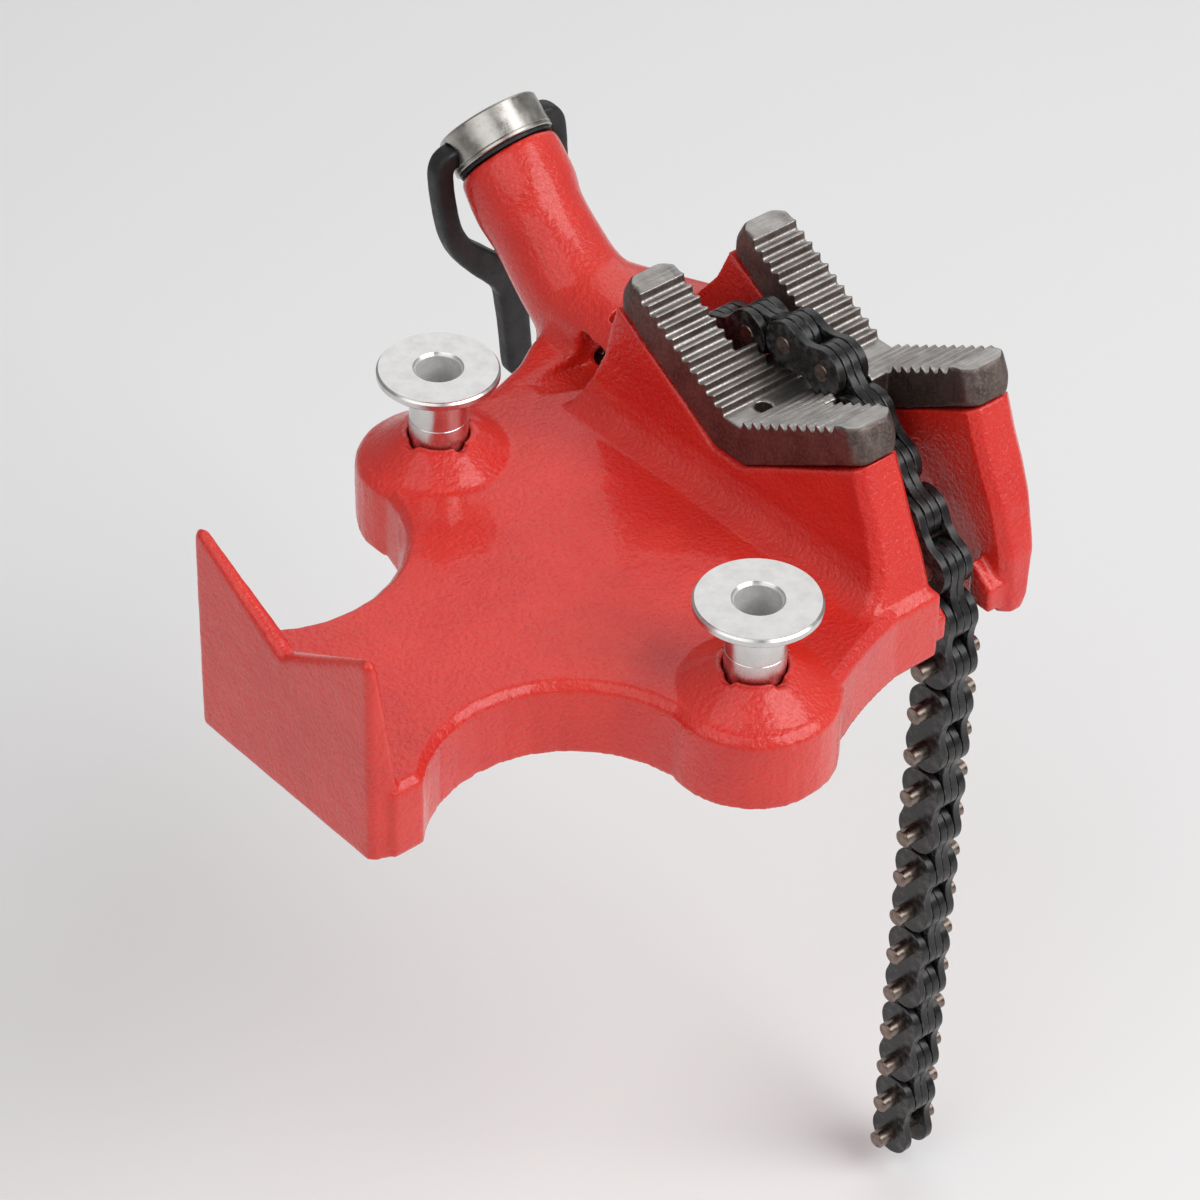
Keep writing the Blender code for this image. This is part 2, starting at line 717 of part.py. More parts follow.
def seat_outline(drop):
    """The jaws' underside as (y, z), lowered by a clearance, and everything above it."""
    slope = (JAW_END_Z - JAW_SEAT_Z) / (JAW_END_Y - JAW_SEAT_HALF)
    wide = POST_FOOT + OVERRUN
    wide_z = JAW_SEAT_Z + (wide - JAW_SEAT_HALF) * slope
    right = [(JAW_SEAT_HALF, JAW_SEAT_Z - drop), (wide, wide_z - drop), (wide, wide_z + wide)]
    return right + [(-y, z) for y, z in reversed(right)]


def jaw_screw_x():
    return JAW_INNER_X - JAW_SCREW_INSET, REAR_JAW_X + JAW_SCREW_INSET


def screw_boss():
    radius = JAW_SCREW_HEAD_RADIUS + JAW_SCREW_CLEARANCE + SCREW_BOSS_WALL
    low, high = -OVERRUN, JAW_SCREW_SEAT_Z + SCREW_BOSS_WALL
    profile = [(0, low), (radius, low), (radius, high), (0, high)]
    return turned(profile, ROUND_SIDES, (jaw_screw_x()[1], 0, 0))


def screw_holes():
    made = []
    for x in jaw_screw_x():
        access = JAW_SCREW_HEAD_RADIUS + JAW_SCREW_CLEARANCE
        shank = JAW_SCREW_RADIUS + JAW_SCREW_CLEARANCE
        low, seat, top = -2 * OVERRUN, JAW_SCREW_SEAT_Z, JAW_SEAT_Z + OVERRUN
        made.append(turned([(0, low), (access, low), (access, seat), (0, seat)], PIN_SIDES, (x, 0, 0)))
        made.append(turned([(0, low), (shank, low), (shank, top), (0, top)], PIN_SIDES, (x, 0, 0)))
    return made


def base_casting(colour):
    body = base_plate()
    combine(body, [
        pipe_rest(), post(JAW_INNER_X, -1, FRONT_POST_SHARES), post(REAR_JAW_X, 1, REAR_POST_SHARES),
        tower(), collar(), shoulder(),
    ], "UNION")
    combine(body, [plate_hollow(), chain_slot(), tower_bore(), side_window()], "DIFFERENCE")
    combine(body, [boss(-1), boss(1), rib(), web(), screw_boss()] + lugs(), "UNION")
    cuts = [below_ground()] + boss_bores(-1) + boss_bores(1) + screw_holes()
    cuts.append(prism_x(seat_outline(GAP), JAW_FRONT_X - JAW_THICKNESS, JAW_INNER_X + GAP))
    cuts.append(prism_x(seat_outline(GAP), REAR_JAW_X - GAP, REAR_X + JAW_THICKNESS))
    combine(body, cuts, "DIFFERENCE")
    return named(body, "base_casting", colour)


def jaw_outline():
    """Half of the jaw's (y, z) profile, from the middle of the V to the middle of the seat."""
    start = Vector((V_BOTTOM_HALF, V_BOTTOM_Z))
    reach = Vector((TIP_Y, TIP_Z)) - start
    angle = math.atan2(reach.y, reach.x) - math.asin(TOOTH_DEPTH / reach.length)
    along = Vector((math.cos(angle), math.sin(angle)))
    up = Vector((-math.sin(angle), math.cos(angle)))
    pitch = reach.dot(along) / (TOOTH_COUNT + TOOTH_END_SHARE)
    points = []
    for tooth in range(TOOTH_COUNT + 1):
        for share, height in TOOTH_SHARES:
            points.append(start + along * pitch * (tooth + share) + up * TOOTH_DEPTH * height)
    points = [start] + points[2:-2]
    tip = [
        Vector((TIP_Y, TIP_Z)), Vector((TIP_Y + TIP_FLAT, TIP_Z + TIP_RISE)),
        Vector((JAW_END_Y, (TIP_Z + JAW_END_Z) / 2)), Vector((JAW_END_Y, JAW_END_Z)),
    ]
    seat = [Vector((JAW_SEAT_HALF, JAW_SEAT_Z))]
    return points + tip + seat


def jaw_sections():
    """(x, how far the end faces are drawn in) of the jaw's sections: each bar is rounded at both faces."""
    sections = []
    for low_x in (JAW_FRONT_X, REAR_JAW_X):
        high_x = low_x + JAW_THICKNESS
        sections += [(low_x, JAW_END_ROUND), (low_x + JAW_END_ROUND, 0)]
        sections += [(high_x - JAW_END_ROUND, 0), (high_x, JAW_END_ROUND)]
    return sections


def jaw_gap(side):
    """Cutter for the open space between the bars, outside the bridge."""
    outline = [(side * y, z) for y in (BRIDGE_HALF, POST_FOOT) for z in (0, 2 * POST_FOOT)]
    outline[2:] = outline[:1:-1]
    return prism_x(outline, JAW_INNER_X, REAR_JAW_X)


def lane(before, after):
    """Cutter for the room that one link takes over the bridge, also while the chain is drawn in."""
    points = []
    for pin in (before, after, before + TRAVEL, after + TRAVEL):
        for y, z in arc(pin, LINK_RADIUS + LANE_ROOM, 0, 360)[1:] + [(pin.x, pin.y + POST_FOOT)]:
            points += [(CHAIN_X - LANE_HALF, y, z), (CHAIN_X + LANE_HALF, y, z)]
    return hull(points)


def jaw(colour):
    half = jaw_outline()
    outer = {len(half) - 4, len(half) - 3, len(half) - 2}
    rings = []
    for x, pull in jaw_sections():
        right = [(point.x - (pull if index in outer else 0), point.y) for index, point in enumerate(half)]
        left = [(-y, z) for y, z in reversed(right)]
        rings.append([(x, y, z) for y, z in left + right])
    body = loft(rings)
    hole = JAW_SCREW_RADIUS + GAP
    low, high = JAW_SEAT_Z - OVERRUN, V_BOTTOM_Z + OVERRUN
    cuts = [jaw_gap(-1), jaw_gap(1)]
    cuts += [lane(*pair) for pair in zip(LANE_PINS, LANE_PINS[1:])]
    for x in jaw_screw_x():
        cuts.append(turned([(0, low), (hole, low), (hole, high), (0, high)], PIN_SIDES, (x, 0, 0)))
    combine(body, cuts, "DIFFERENCE")
    return named(body, "jaw", colour)


def jaw_screw(name, x, colour):
    seat = JAW_SCREW_SEAT_Z - GAP
    top = V_BOTTOM_Z - JAW_SCREW_TOP_DROP
    profile = [
        (0, seat - JAW_SCREW_HEAD_HEIGHT), (JAW_SCREW_HEAD_RADIUS, seat - JAW_SCREW_HEAD_HEIGHT),
        (JAW_SCREW_HEAD_RADIUS, seat), (JAW_SCREW_RADIUS, seat), (JAW_SCREW_RADIUS, top), (0, top),
    ]
    return named(turned(profile, PIN_SIDES, (x, 0, 0)), name, colour)


def spool(name, side, colour):
    bottom = SPOOL_LEDGE_Z + GAP
    chamfer = SPOOL_CHAMFER
    profile = [
        (SPOOL_HOLE_RADIUS, bottom), (SPOOL_NECK_RADIUS, bottom), (SPOOL_NECK_RADIUS, SPOOL_NECK_Z),
        (SPOOL_RADIUS, SPOOL_RIM_Z), (SPOOL_RADIUS, SPOOL_TOP_Z - chamfer),
        (SPOOL_RADIUS - chamfer, SPOOL_TOP_Z), (SPOOL_HOLE_RADIUS + chamfer, SPOOL_TOP_Z),
        (SPOOL_HOLE_RADIUS, SPOOL_TOP_Z - chamfer),
    ]
    return named(turned(profile, ROUND_SIDES, (0, side * BOLT_OFFSET, 0)), name, colour)


def tower_frame():
    """An empty at the hub's base, with its Z axis along the tower."""
    empty = bpy.data.objects.new("tower_axis", None)
    bpy.context.scene.collection.objects.link(empty)
    empty.location = HUB_BASE
    empty.rotation_euler = (AXIS - math.pi / 2, 0, 0)
    return empty


def washer(frame, colour):
    pilot = BORE_RADIUS - GAP
    low, high = -GAP - WASHER_THICKNESS, -GAP
    profile = [(pilot, low), (WASHER_RADIUS, low), (WASHER_RADIUS, high), (pilot, high)]
    obj = named(turned(profile, ROUND_SIDES), "thrust_washer", colour)
    obj.parent = frame
    return obj


def hub(frame, colour):
    bore = SCREW_RADIUS + THREAD_CLEARANCE
    pilot = BORE_RADIUS - GAP - RUNNING_GAP
    edge = HUB_CHAMFER
    profile = [
        (bore, -PILOT_LENGTH), (pilot, -PILOT_LENGTH), (pilot, 0), (HUB_RADIUS - edge, 0), (HUB_RADIUS, edge),
        (HUB_RADIUS, HUB_HEIGHT - edge), (HUB_RADIUS - edge, HUB_HEIGHT), (bore, HUB_HEIGHT),
    ]
    body = turned(profile, FINE_SIDES)
    hole = PIVOT_PIN_RADIUS + RUNNING_GAP
    deep, out = PIVOT_PIN_TIP - RUNNING_GAP, HUB_RADIUS + OVERRUN
    middle = HUB_HEIGHT / 2
    combine(body, [rod_x(hole, deep, out, 0, middle), rod_x(hole, -out, -deep, 0, middle)], "DIFFERENCE")
    named(body, "hub_nut", colour)
    body.parent = frame
    body.rotation_euler = (0, 0, -HUB_TURN)
    return body


def chain_screw(frame, colour):
    slot_half = INNER_HALF + GAP
    slot_top = -CLEVIS_PIN_DEPTH + LINK_RADIUS + RUNNING_GAP
    shoulder_z = slot_top + CLEVIS_SHOULDER
    tail = -CLEVIS_PIN_DEPTH - CLEVIS_TAIL
    profile = [
        (0, tail), (CLEVIS_RADIUS, tail), (CLEVIS_RADIUS, shoulder_z),
        (SCREW_RADIUS, shoulder_z + CLEVIS_SHOULDER), (SCREW_RADIUS, HUB_HEIGHT), (0, HUB_HEIGHT),
    ]
    body = turned(profile, ROUND_SIDES)
    out = CLEVIS_RADIUS + OVERRUN
    slot = prism_x([(-out, tail - OVERRUN), (out, tail - OVERRUN), (out, slot_top), (-out, slot_top)],
                   -slot_half, slot_half)
    hole = CHAIN_PIN_RADIUS + PIN_CLEARANCE + GAP
    combine(body, [slot, rod_x(hole, -out, out, 0, -CLEVIS_PIN_DEPTH)], "DIFFERENCE")
    named(body, "chain_screw", colour)
    body.parent = frame
    return body


def clevis_pin(frame, colour):
    half = math.sqrt(CLEVIS_RADIUS**2 - CHAIN_PIN_RADIUS**2) - GAP
    body = named(rod_x(CHAIN_PIN_RADIUS, -half, half, 0, -CLEVIS_PIN_DEPTH), "clevis_pin", colour)
    body.parent = frame
    return body


def handle(colour):
    side = [(HANDLE_HALF * x, HANDLE_LENGTH * z) for x, z in HANDLE_SHARES]
    outline = [(0, HANDLE_LENGTH * CROTCH_SHARE)] + side + [(-x, z) for x, z in reversed(side)]
    small = inset(outline, HANDLE_ROUND)
    half = HANDLE_THICKNESS / 2
    levels = ((-half, small), (-half + HANDLE_ROUND, outline), (half - HANDLE_ROUND, outline), (half, small))
    body = loft([[(x, y, z) for x, z in ring] for y, ring in levels])
    root = HANDLE_HALF - HANDLE_THICKNESS / 2
    combine(body, [rod_x(PIVOT_PIN_RADIUS, PIVOT_PIN_TIP, root, 0, 0),
                   rod_x(PIVOT_PIN_RADIUS, -root, -PIVOT_PIN_TIP, 0, 0)], "UNION")
    named(body, "handle", colour)
    hinge = Vector((math.cos(HUB_TURN), 0, 0)) + ACROSS * math.sin(HUB_TURN)
    upright = Vector((0, 0, 1))
    hang = (upright - hinge * hinge.z).normalized()
    turn = Matrix((hinge, hang.cross(hinge), hang)).transposed()
    body.location = HUB_BASE + ALONG * (HUB_HEIGHT / 2)
    body.rotation_euler = turn.to_euler()
    return body


def link_plate(low_x, high_x):
    """A waisted chain plate between two pins, the first at the origin and the next at -Y."""
    waist = (-PITCH / 2, LINK_WAIST)
    across = arc((0, 0), LINK_RADIUS, -LINK_END_DEG, LINK_END_DEG, LINK_END_STEPS)
    back = [(-PITCH - y, z) for y, z in across]
    outline = across + [waist] + back[::-1] + [(waist[0], -waist[1])]
    return prism_x(outline, low_x, high_x)


def inner_link_mesh():
    body = link_plate(-INNER_HALF, INNER_HALF)
    hole = CHAIN_PIN_RADIUS + PIN_CLEARANCE + GAP
    out = INNER_HALF + OVERRUN
    combine(body, [rod_x(hole, -out, out, 0, 0), rod_x(hole, -out, out, -PITCH, 0)], "DIFFERENCE")
    return body


def outer_link_mesh(first_proud, second_proud):
    face = 2 * PLATE_GAUGE
    body = link_plate(-face, -PLATE_GAUGE)
    others = [link_plate(PLATE_GAUGE, face)]
    for y, proud in ((0, first_proud), (-PITCH, second_proud)):
        others.append(rod_x(CHAIN_PIN_RADIUS, -face - proud, face + proud, y, 0))
    return combine(body, others, "UNION")


def chain(plate_colour):
    """Links hinged end to end: each is parented to the one before, with its origin on their pin."""
    kinds = {}
    before, before_rise = None, 0.0
    for index, rise in enumerate(LINK_RISES_DEG):
        number = index + 1
        if number % 2:
            kind, key = "inner", "inner"
        else:
            ends = (index, number)
            key = tuple(LONG_PIN_PROUD if pin >= FIRST_LONG_PIN else FLUSH_PIN_PROUD for pin in ends)
            kind = "outer"
        if key not in kinds:
            made = inner_link_mesh() if kind == "inner" else outer_link_mesh(*key)
            named(made, f"{kind}_link", plate_colour)
            kinds[key] = made.data
            bpy.data.objects.remove(made, do_unlink=True)
        link = place(f"chain_{kind}_link_{number:02d}", kinds[key])
        if before is None:
            link.location = (CHAIN_X, PINS[0].x, PINS[0].y)
        else:
            link.parent = before
            link.location = (0, -PITCH, 0)
        link.rotation_euler = Euler((math.radians(before_rise - rise), 0, 0))
        before, before_rise = link, rise


def build():
    clear_scene()
    forged, pin_steel, bright = finish("black_forging"), finish("pin_steel"), finish("turned_steel")
    base_casting(finish("red_enamel"))
    front_screw_x, rear_screw_x = jaw_screw_x()
    jaw(finish("jaw_steel"))
    jaw_screw("jaw_screw_front", front_screw_x, pin_steel)
    jaw_screw("jaw_screw_rear", rear_screw_x, pin_steel)
    spool("mounting_spool_right", -1, bright)
    spool("mounting_spool_left", 1, bright)
    frame = tower_frame()
    washer(frame, forged)
    hub(frame, finish("brushed_steel"))
    chain_screw(frame, pin_steel)
    clevis_pin(frame, pin_steel)
    handle(forged)
    chain(finish("black_oxide"))


build()
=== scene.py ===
"""Looks of the chain pipe vise: a smooth red casting, milled jaw, turned steel and a worn leaf chain.

All lengths are in metres, and Z is up.
"""

import json
import math

import bmesh
import bpy
import numpy as np
from mathutils import Matrix, Vector, noise


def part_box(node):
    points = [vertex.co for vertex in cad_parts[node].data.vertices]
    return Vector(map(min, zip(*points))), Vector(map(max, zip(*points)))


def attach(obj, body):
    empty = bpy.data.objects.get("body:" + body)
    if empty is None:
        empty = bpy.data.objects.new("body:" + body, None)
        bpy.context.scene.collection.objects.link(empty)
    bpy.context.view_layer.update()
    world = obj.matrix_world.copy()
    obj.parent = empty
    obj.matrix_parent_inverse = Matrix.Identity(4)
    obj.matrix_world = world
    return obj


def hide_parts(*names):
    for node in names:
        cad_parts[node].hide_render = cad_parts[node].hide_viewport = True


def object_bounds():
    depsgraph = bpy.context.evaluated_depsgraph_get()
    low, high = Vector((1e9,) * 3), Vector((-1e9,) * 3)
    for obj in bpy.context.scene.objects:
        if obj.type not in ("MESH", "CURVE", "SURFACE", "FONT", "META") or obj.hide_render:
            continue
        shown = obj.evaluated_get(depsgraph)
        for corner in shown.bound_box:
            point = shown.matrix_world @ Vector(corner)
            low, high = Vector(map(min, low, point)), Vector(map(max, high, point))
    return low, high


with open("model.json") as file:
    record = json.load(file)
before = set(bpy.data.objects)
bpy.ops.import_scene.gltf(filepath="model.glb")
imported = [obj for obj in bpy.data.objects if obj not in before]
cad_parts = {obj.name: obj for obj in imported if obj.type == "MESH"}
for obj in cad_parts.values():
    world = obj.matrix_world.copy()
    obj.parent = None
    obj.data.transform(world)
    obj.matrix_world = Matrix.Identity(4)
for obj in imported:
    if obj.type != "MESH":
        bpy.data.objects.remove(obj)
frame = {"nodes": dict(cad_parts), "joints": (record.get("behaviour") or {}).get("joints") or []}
CAD_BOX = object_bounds()
NODES = frame["nodes"]
JOINTS = {joint["name"]: joint for joint in frame["joints"]}
X_AXIS = Vector((1, 0, 0))
Z_AXIS = Vector((0, 0, 1))

# Places and directions that the frame gives
HUB_BASE = Vector(JOINTS["hub_turn"]["pos_m"])
ALONG = Vector(JOINTS["screw_slide"]["axis"]).normalized()
HINGE = Vector(JOINTS["handle_swing"]["pos_m"])
HINGE_AXIS = Vector(JOINTS["handle_swing"]["axis"]).normalized()
SPOOLS = ("mounting_spool_right", "mounting_spool_left")

# The chain's pins: one at each link's joint, and one more at the free end
LINK_COUNT = sum(name.startswith("pin_") for name in JOINTS)
PINS = [Vector(JOINTS[f"pin_{number:02d}"]["pos_m"]) for number in range(1, LINK_COUNT + 1)]
PINS.append(PINS[-1] + PINS[-1] - PINS[-2])
PITCH = (PINS[1] - PINS[0]).length

# Camera, fitted to the photograph
CAMERA_PLACE = Vector((-1.0216, -1.1571, 1.2611))
CAMERA_AIM = Vector((-0.03095, -0.04175, 0.060))
CAMERA_ROLL = math.radians(1.51)
CAMERA_LENS = 128.25
SENSOR = 36.0
CLIP_NEAR = 0.01
CLIP_FAR = 100

# Studio: each lamp's name, place and power
FLOOR_DROP = 0.012
FLOOR_HALF = 6.0
WORLD_STRENGTH = 0.33
LAMP_SIZE = 1.9
LAMP_AIM = Vector((0, 0, 0.05))
LAMPS = (
    ("key", (0.75, -1.65, 1.75), 44),
    ("fill", (-1.5, -0.1, 1.7), 14),
    ("rim", (1.4, 1.2, 1.3), 9),
)

# Mesh work
MERGE_DISTANCE = 0.00001
SMOOTHING_FACTOR = 0.5
NOISE_SINK_SHARE = 0.7
TURNED_SHARP_DEG = 35
CHAIN_SHARP_DEG = 40
HUB_SHARP_DEG = 25

# Casting
CAST_VOXEL = 0.0011
CAST_SMOOTHING = 9
CAST_WAVE = 0.00018
CAST_WAVE_SIZE = 0.013
CAST_GRAIN = 0.00008
CAST_GRAIN_SIZE = 0.0026
TOWER_START_Y = 0.122
TOWER_BLEND = 0.012
TOWER_SMOOTHING = 60
TOWER_RADIUS = 0.027
NOTCH_WIDTH = 0.0062
NOTCH_REACH = 0.0190
NOTCH_FLOOR_Z = 0.0492
NOTCH_TOP_Z = 0.060
LUG_RADIUS = 0.0048
LUG_SINK = 0.0016
LUG_DROP = 0.023

# Jaw: upward shares say how far a face looks up, from 0 to 1
JAW_VOXEL = 0.0006
JAW_SMOOTHING = 2
TIP_START = 0.0672
TIP_BLEND = 0.0015
TIP_SMOOTHING = 70
TIP_TOP_START_SHARE = 0.88
TIP_TOP_BLEND_SHARE = 0.04
MILLED_START_SHARE = 0.30
MILLED_BLEND_SHARE = 0.15

# Handle: the centre line of an arm as (x, z, half width) from the hinge, and of the bar below the arms
HANDLE_VOXEL = 0.0006
HANDLE_SMOOTHING = 5
HANDLE_WAVE = 0.00012
HANDLE_WAVE_SIZE = 0.005
HANDLE_DEPTH = 0.0058
HANDLE_ARM = (
    (0.0192, 0.0, 0.0053), (0.0262, 0.0002, 0.0056), (0.0308, -0.0006, 0.0057),
    (0.0338, -0.0046, 0.0057), (0.0347, -0.0120, 0.0056), (0.0343, -0.0270, 0.0056),
    (0.0325, -0.0430, 0.0058), (0.0275, -0.0565, 0.0066), (0.0180, -0.0690, 0.0078),
    (0.0090, -0.0800, 0.0080), (0.0045, -0.0910, 0.0060), (0.0015, -0.1040, 0.0050),
)
HANDLE_BAR = (
    (0.0, -0.0730, 0.0070), (0.0, -0.0860, 0.0098), (0.0, -0.1010, 0.0090),
    (0.0, -0.1200, 0.0082), (0.0, -0.1430, 0.0080), (0.0, -0.1484, 0.0066),
)
SECTION_SIDES = 28
SECTION_POWER = 0.5
ROUTE_STEPS = 8

# Chain
LINK_RADIUS = 0.0124
LINK_WAIST = 0.0096
LINK_ARC = math.radians(108)
LINK_ARC_STEPS = 18
LINK_WAIST_STEPS = 5
PLATE_FACE = 0.0095
PLATE_SPLIT = 0.00475
PLATE_SLIT = 0.00034
PLATE_EDGE = 0.00034
# Share of the grey edge mark on the outer ring of each plate face; the mark is partly wear and partly a
# painted highlight
PLATE_FACE_WEAR_AND_SHEEN_SHARE = 0.8
PIN_RADIUS = 0.0045
PIN_PROUD = 0.0004
LONG_PIN_PROUD = 0.0095
PIN_EDGE = 0.00045
FIRST_LONG_PIN = 16
PIN_SIDES = 36

# Spools and hub
FINE_SIDES = 128
SPOOL_NECK_RADIUS = 0.0142
SPOOL_HOLE_RADIUS = 0.0108
SPOOL_NECK_Z = 0.0750
SPOOL_RIM_Z = 0.0838
SPOOL_LIP = 0.0010
SPOOL_CHAMFER = 0.0014
BAND_DEPTH = 0.00022
BAND_LOW_Z = 0.0605
BAND_HIGH_Z = 0.0680
HUB_RADIUS = 0.0273
HUB_HEIGHT = 0.019
HUB_EDGE = 0.0011
HUB_BORE = 0.0104
HUB_PILOT = 0.0166
PILOT_LENGTH = 0.014
GROOVE_Z = 0.0022
GROOVE_DEPTH = 0.0004
HUB_HOLE = 0.0061
HUB_HOLE_FLARE = 0.0009
HUB_HOLE_DEPTH = 0.0084

# Chain screw
SCREW_RADIUS = 0.010
SCREW_CHAMFER = 0.0015
CLEVIS_TOP = -0.0350
THREAD_PITCH = 0.005
THREAD_DEPTH = 0.0020
THREAD_RUN_OUT = 0.006
THREAD_GROOVE_SHARE = 0.62
THREAD_FLANK_SHARE = 0.24
THREAD_STEP = 0.0003
THREAD_SIDES = 72


# Mesh tools


def link_object(name, mesh):
    piece = bpy.data.objects.new(name, mesh)
    bpy.context.scene.collection.objects.link(piece)
    return piece


def mesh_of(form, name):
    """Turns a finished bmesh into a mesh, and frees it."""
    mesh = bpy.data.meshes.new(name)
    form.to_mesh(mesh)
    form.free()
    return mesh


def shaded(mesh, sharp_deg):
    """Shades a mesh smooth, with its sharper edges kept."""
    mesh.shade_smooth()
    mesh.set_sharp_from_angle(angle=math.radians(sharp_deg))
    return mesh


def outward(form):
    bmesh.ops.recalc_face_normals(form, faces=form.faces)
    return form


def settle(piece, body, slot, material, *replaced):
    """Gives a finished piece its material and its body, and hides the nodes that it stands for."""
    piece.data.materials.clear()
    piece.data.materials.append(material)
    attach(piece, body)
    if replaced:
        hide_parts(*replaced)
    return piece


def merged_copy(name, node):
    """A new piece with the mesh of a node, whose corners are joined."""
    form = bmesh.new()
    form.from_mesh(NODES[node].data)
    bmesh.ops.remove_doubles(form, verts=form.verts, dist=MERGE_DISTANCE)
    return link_object(name, mesh_of(form, name))


def applied(piece):
    """Replaces the piece's mesh by what its modifiers make of it."""
    bpy.context.view_layer.update()
    graph = bpy.context.evaluated_depsgraph_get()
    mesh = bpy.data.meshes.new_from_object(piece.evaluated_get(graph))
    piece.modifiers.clear()
    old = piece.data
    piece.data = mesh
    bpy.data.meshes.remove(old)
    mesh.name = piece.name
    return piece


def remeshed(piece, voxel, smoothing):
    """An even fine mesh with softly rounded edges, as a casting or forging has."""
    grid = piece.modifiers.new("grid", "REMESH")
    grid.mode = "VOXEL"
    grid.voxel_size = voxel
    soft = piece.modifiers.new("soft", "SMOOTH")
    soft.factor = SMOOTHING_FACTOR
    soft.iterations = smoothing
    applied(piece)
    piece.data.shade_smooth()
    return piece


def softened(piece, shares, rounds):
    """Smooths a piece further where the shares from 0 to 1 say so."""
    group = piece.vertex_groups.new(name="softer")
    for index in np.nonzero(shares > 0)[0].tolist():
        group.add((index,), shares[index], "REPLACE")
    soft = piece.modifiers.new("softer", "SMOOTH")
    soft.iterations = rounds
    soft.vertex_group = "softer"
    return applied(piece)


def carved(piece, cutters):
    """Cuts closed pieces out of a closed piece, and removes them."""
    for cutter in cutters:
        cut = piece.modifiers.new("cut", "BOOLEAN")
        cut.object = cutter
        cut.solver = "MANIFOLD"
        cut.operation = "DIFFERENCE"
    applied(piece)
    for cutter in cutters:
        bpy.data.objects.remove(cutter)
    return piece


def marked(piece, name, shares):
    """Stores one value from 0 to 1 at each point, for a material to read."""
    store = piece.data.attributes.new(name, "FLOAT", "POINT")
    store.data.foreach_set("value", np.asarray(shares, np.float32))
    return piece


def vectors_of(items, key):
    """Reads one vector from each item, as the rows of an array."""
    values = np.empty(len(items) * 3, np.float32)
    items.foreach_get(key, values)
    return values.reshape(-1, 3).astype(float)


def share_past(values, start, blend):
    """Rises from 0 at start to 1 where the values are a blend further on."""
    return np.clip((values - start) / blend, 0, 1)


def roughened(piece, waves):
    """Moves points along their normals by noise, within the piece's box; waves are (height, size)."""
    mesh = piece.data
    places = vectors_of(mesh.vertices, "co")
    normals = vectors_of(mesh.vertex_normals, "vector")
    low, high = places.min(axis=0), places.max(axis=0)
    for height, size in waves:
        shifts = np.array([noise.noise(place) for place in (places / size).tolist()]) - NOISE_SINK_SHARE
        places += normals * (shifts * height)[:, None]
    places = np.clip(places, low, high)
    mesh.vertices.foreach_set("co", places.astype(np.float32).ravel())
    mesh.update()
    return piece


def turned_rings(form, profile, sides, placed):
    """Rings of points for a profile of (radius, along); placed says where (x, y, along) lies."""
    rings = []
    for radius, along in profile:
        if radius == 0:
            rings.append([form.verts.new(placed(0, 0, along))] * sides)
            continue
        ring = []
        for step in range(sides):
            angle = math.tau * step / sides
            ring.append(form.verts.new(placed(radius * math.cos(angle), radius * math.sin(angle), along)))
        rings.append(ring)
    return rings


def bridge(form, rings):
    """Faces from each ring to the next; a ring may be one point that repeats."""
    for ring, following in zip(rings, rings[1:]):
        for step in range(len(ring)):
            after = (step + 1) % len(ring)
            corners = dict.fromkeys((ring[step], ring[after], following[after], following[step]))
            if len(corners) > 2:
                form.faces.new(list(corners))


def closed_bar(form, rings):
    bridge(form, rings)
    form.faces.new(rings[0])
    form.faces.new(rings[-1])


def turned(name, profile, sides):
    """A closed profile of (radius, z) turned round the local Z axis."""
    form = bmesh.new()
    rings = turned_rings(form, profile, sides, lambda x, y, z: (x, y, z))
    bridge(form, rings + rings[:1])
    return link_object(name, shaded(mesh_of(outward(form), name), TURNED_SHARP_DEG))


def block(name, low, high):
    """A plain closed block, used as a cutter."""
    form = bmesh.new()
    bmesh.ops.create_cube(form, size=1)
    size = Vector(high) - Vector(low)
    for vert in form.verts:
        vert.co = Vector(low) + Vector(part * (place + 0.5) for part, place in zip(size, vert.co))
    return link_object(name, mesh_of(form, name))


def basis(side, up, place):
    """A matrix with local X along side and local Z along up, which is square to side."""
    turn = Matrix((side, up.cross(side), up)).transposed().to_4x4()
    turn.translation = place
    return turn


def tilt_to(direction, place):
    """A matrix that puts local Z along a direction, with local X along the frame's X."""
    up = direction.normalized()
    return basis((X_AXIS - up * X_AXIS.dot(up)).normalized(), up, place)


def smooth_route(points):
    """Points on a Catmull-Rom curve through the given ones."""
    rows = [Vector(point) for point in points]
    rows = [2 * rows[0] - rows[1]] + rows + [2 * rows[-1] - rows[-2]]
    route = []
    for before, start, end, after in zip(rows, rows[1:], rows[2:], rows[3:]):
        for step in range(ROUTE_STEPS):
            share = step / ROUTE_STEPS
            linear = (end - before) * share
            square = (2 * before - 5 * start + 4 * end - after) * share**2
            cubic = (3 * start - before - 3 * end + after) * share**3
            route.append((2 * start + linear + square + cubic) / 2)
    route.append(rows[-2])
    return route


def rounded_square(value):
    """Pushes a cosine or sine outward, so that a circle becomes a square with round corners."""
    return math.copysign(abs(value)**SECTION_POWER, value)


def swept_bar(form, points, mirror=1):
    """A bar with a rounded square section, along points of (x, z, half width)."""
    route = smooth_route(points)
    rings = []
    for index, spot in enumerate(route):
        before, after = route[max(index - 1, 0)], route[min(index + 1, len(route) - 1)]
        run = Vector((after.x - before.x, after.y - before.y)).normalized()
        ring = []
        for step in range(SECTION_SIDES):
            angle = math.tau * step / SECTION_SIDES
            wide = rounded_square(math.cos(angle)) * spot.z
            deep = rounded_square(math.sin(angle)) * HANDLE_DEPTH
            ring.append(form.verts.new(((spot.x - run.y * wide) * mirror, deep, spot.y + run.x * wide)))
        rings.append(ring)
    closed_bar(form, rings)


# Materials


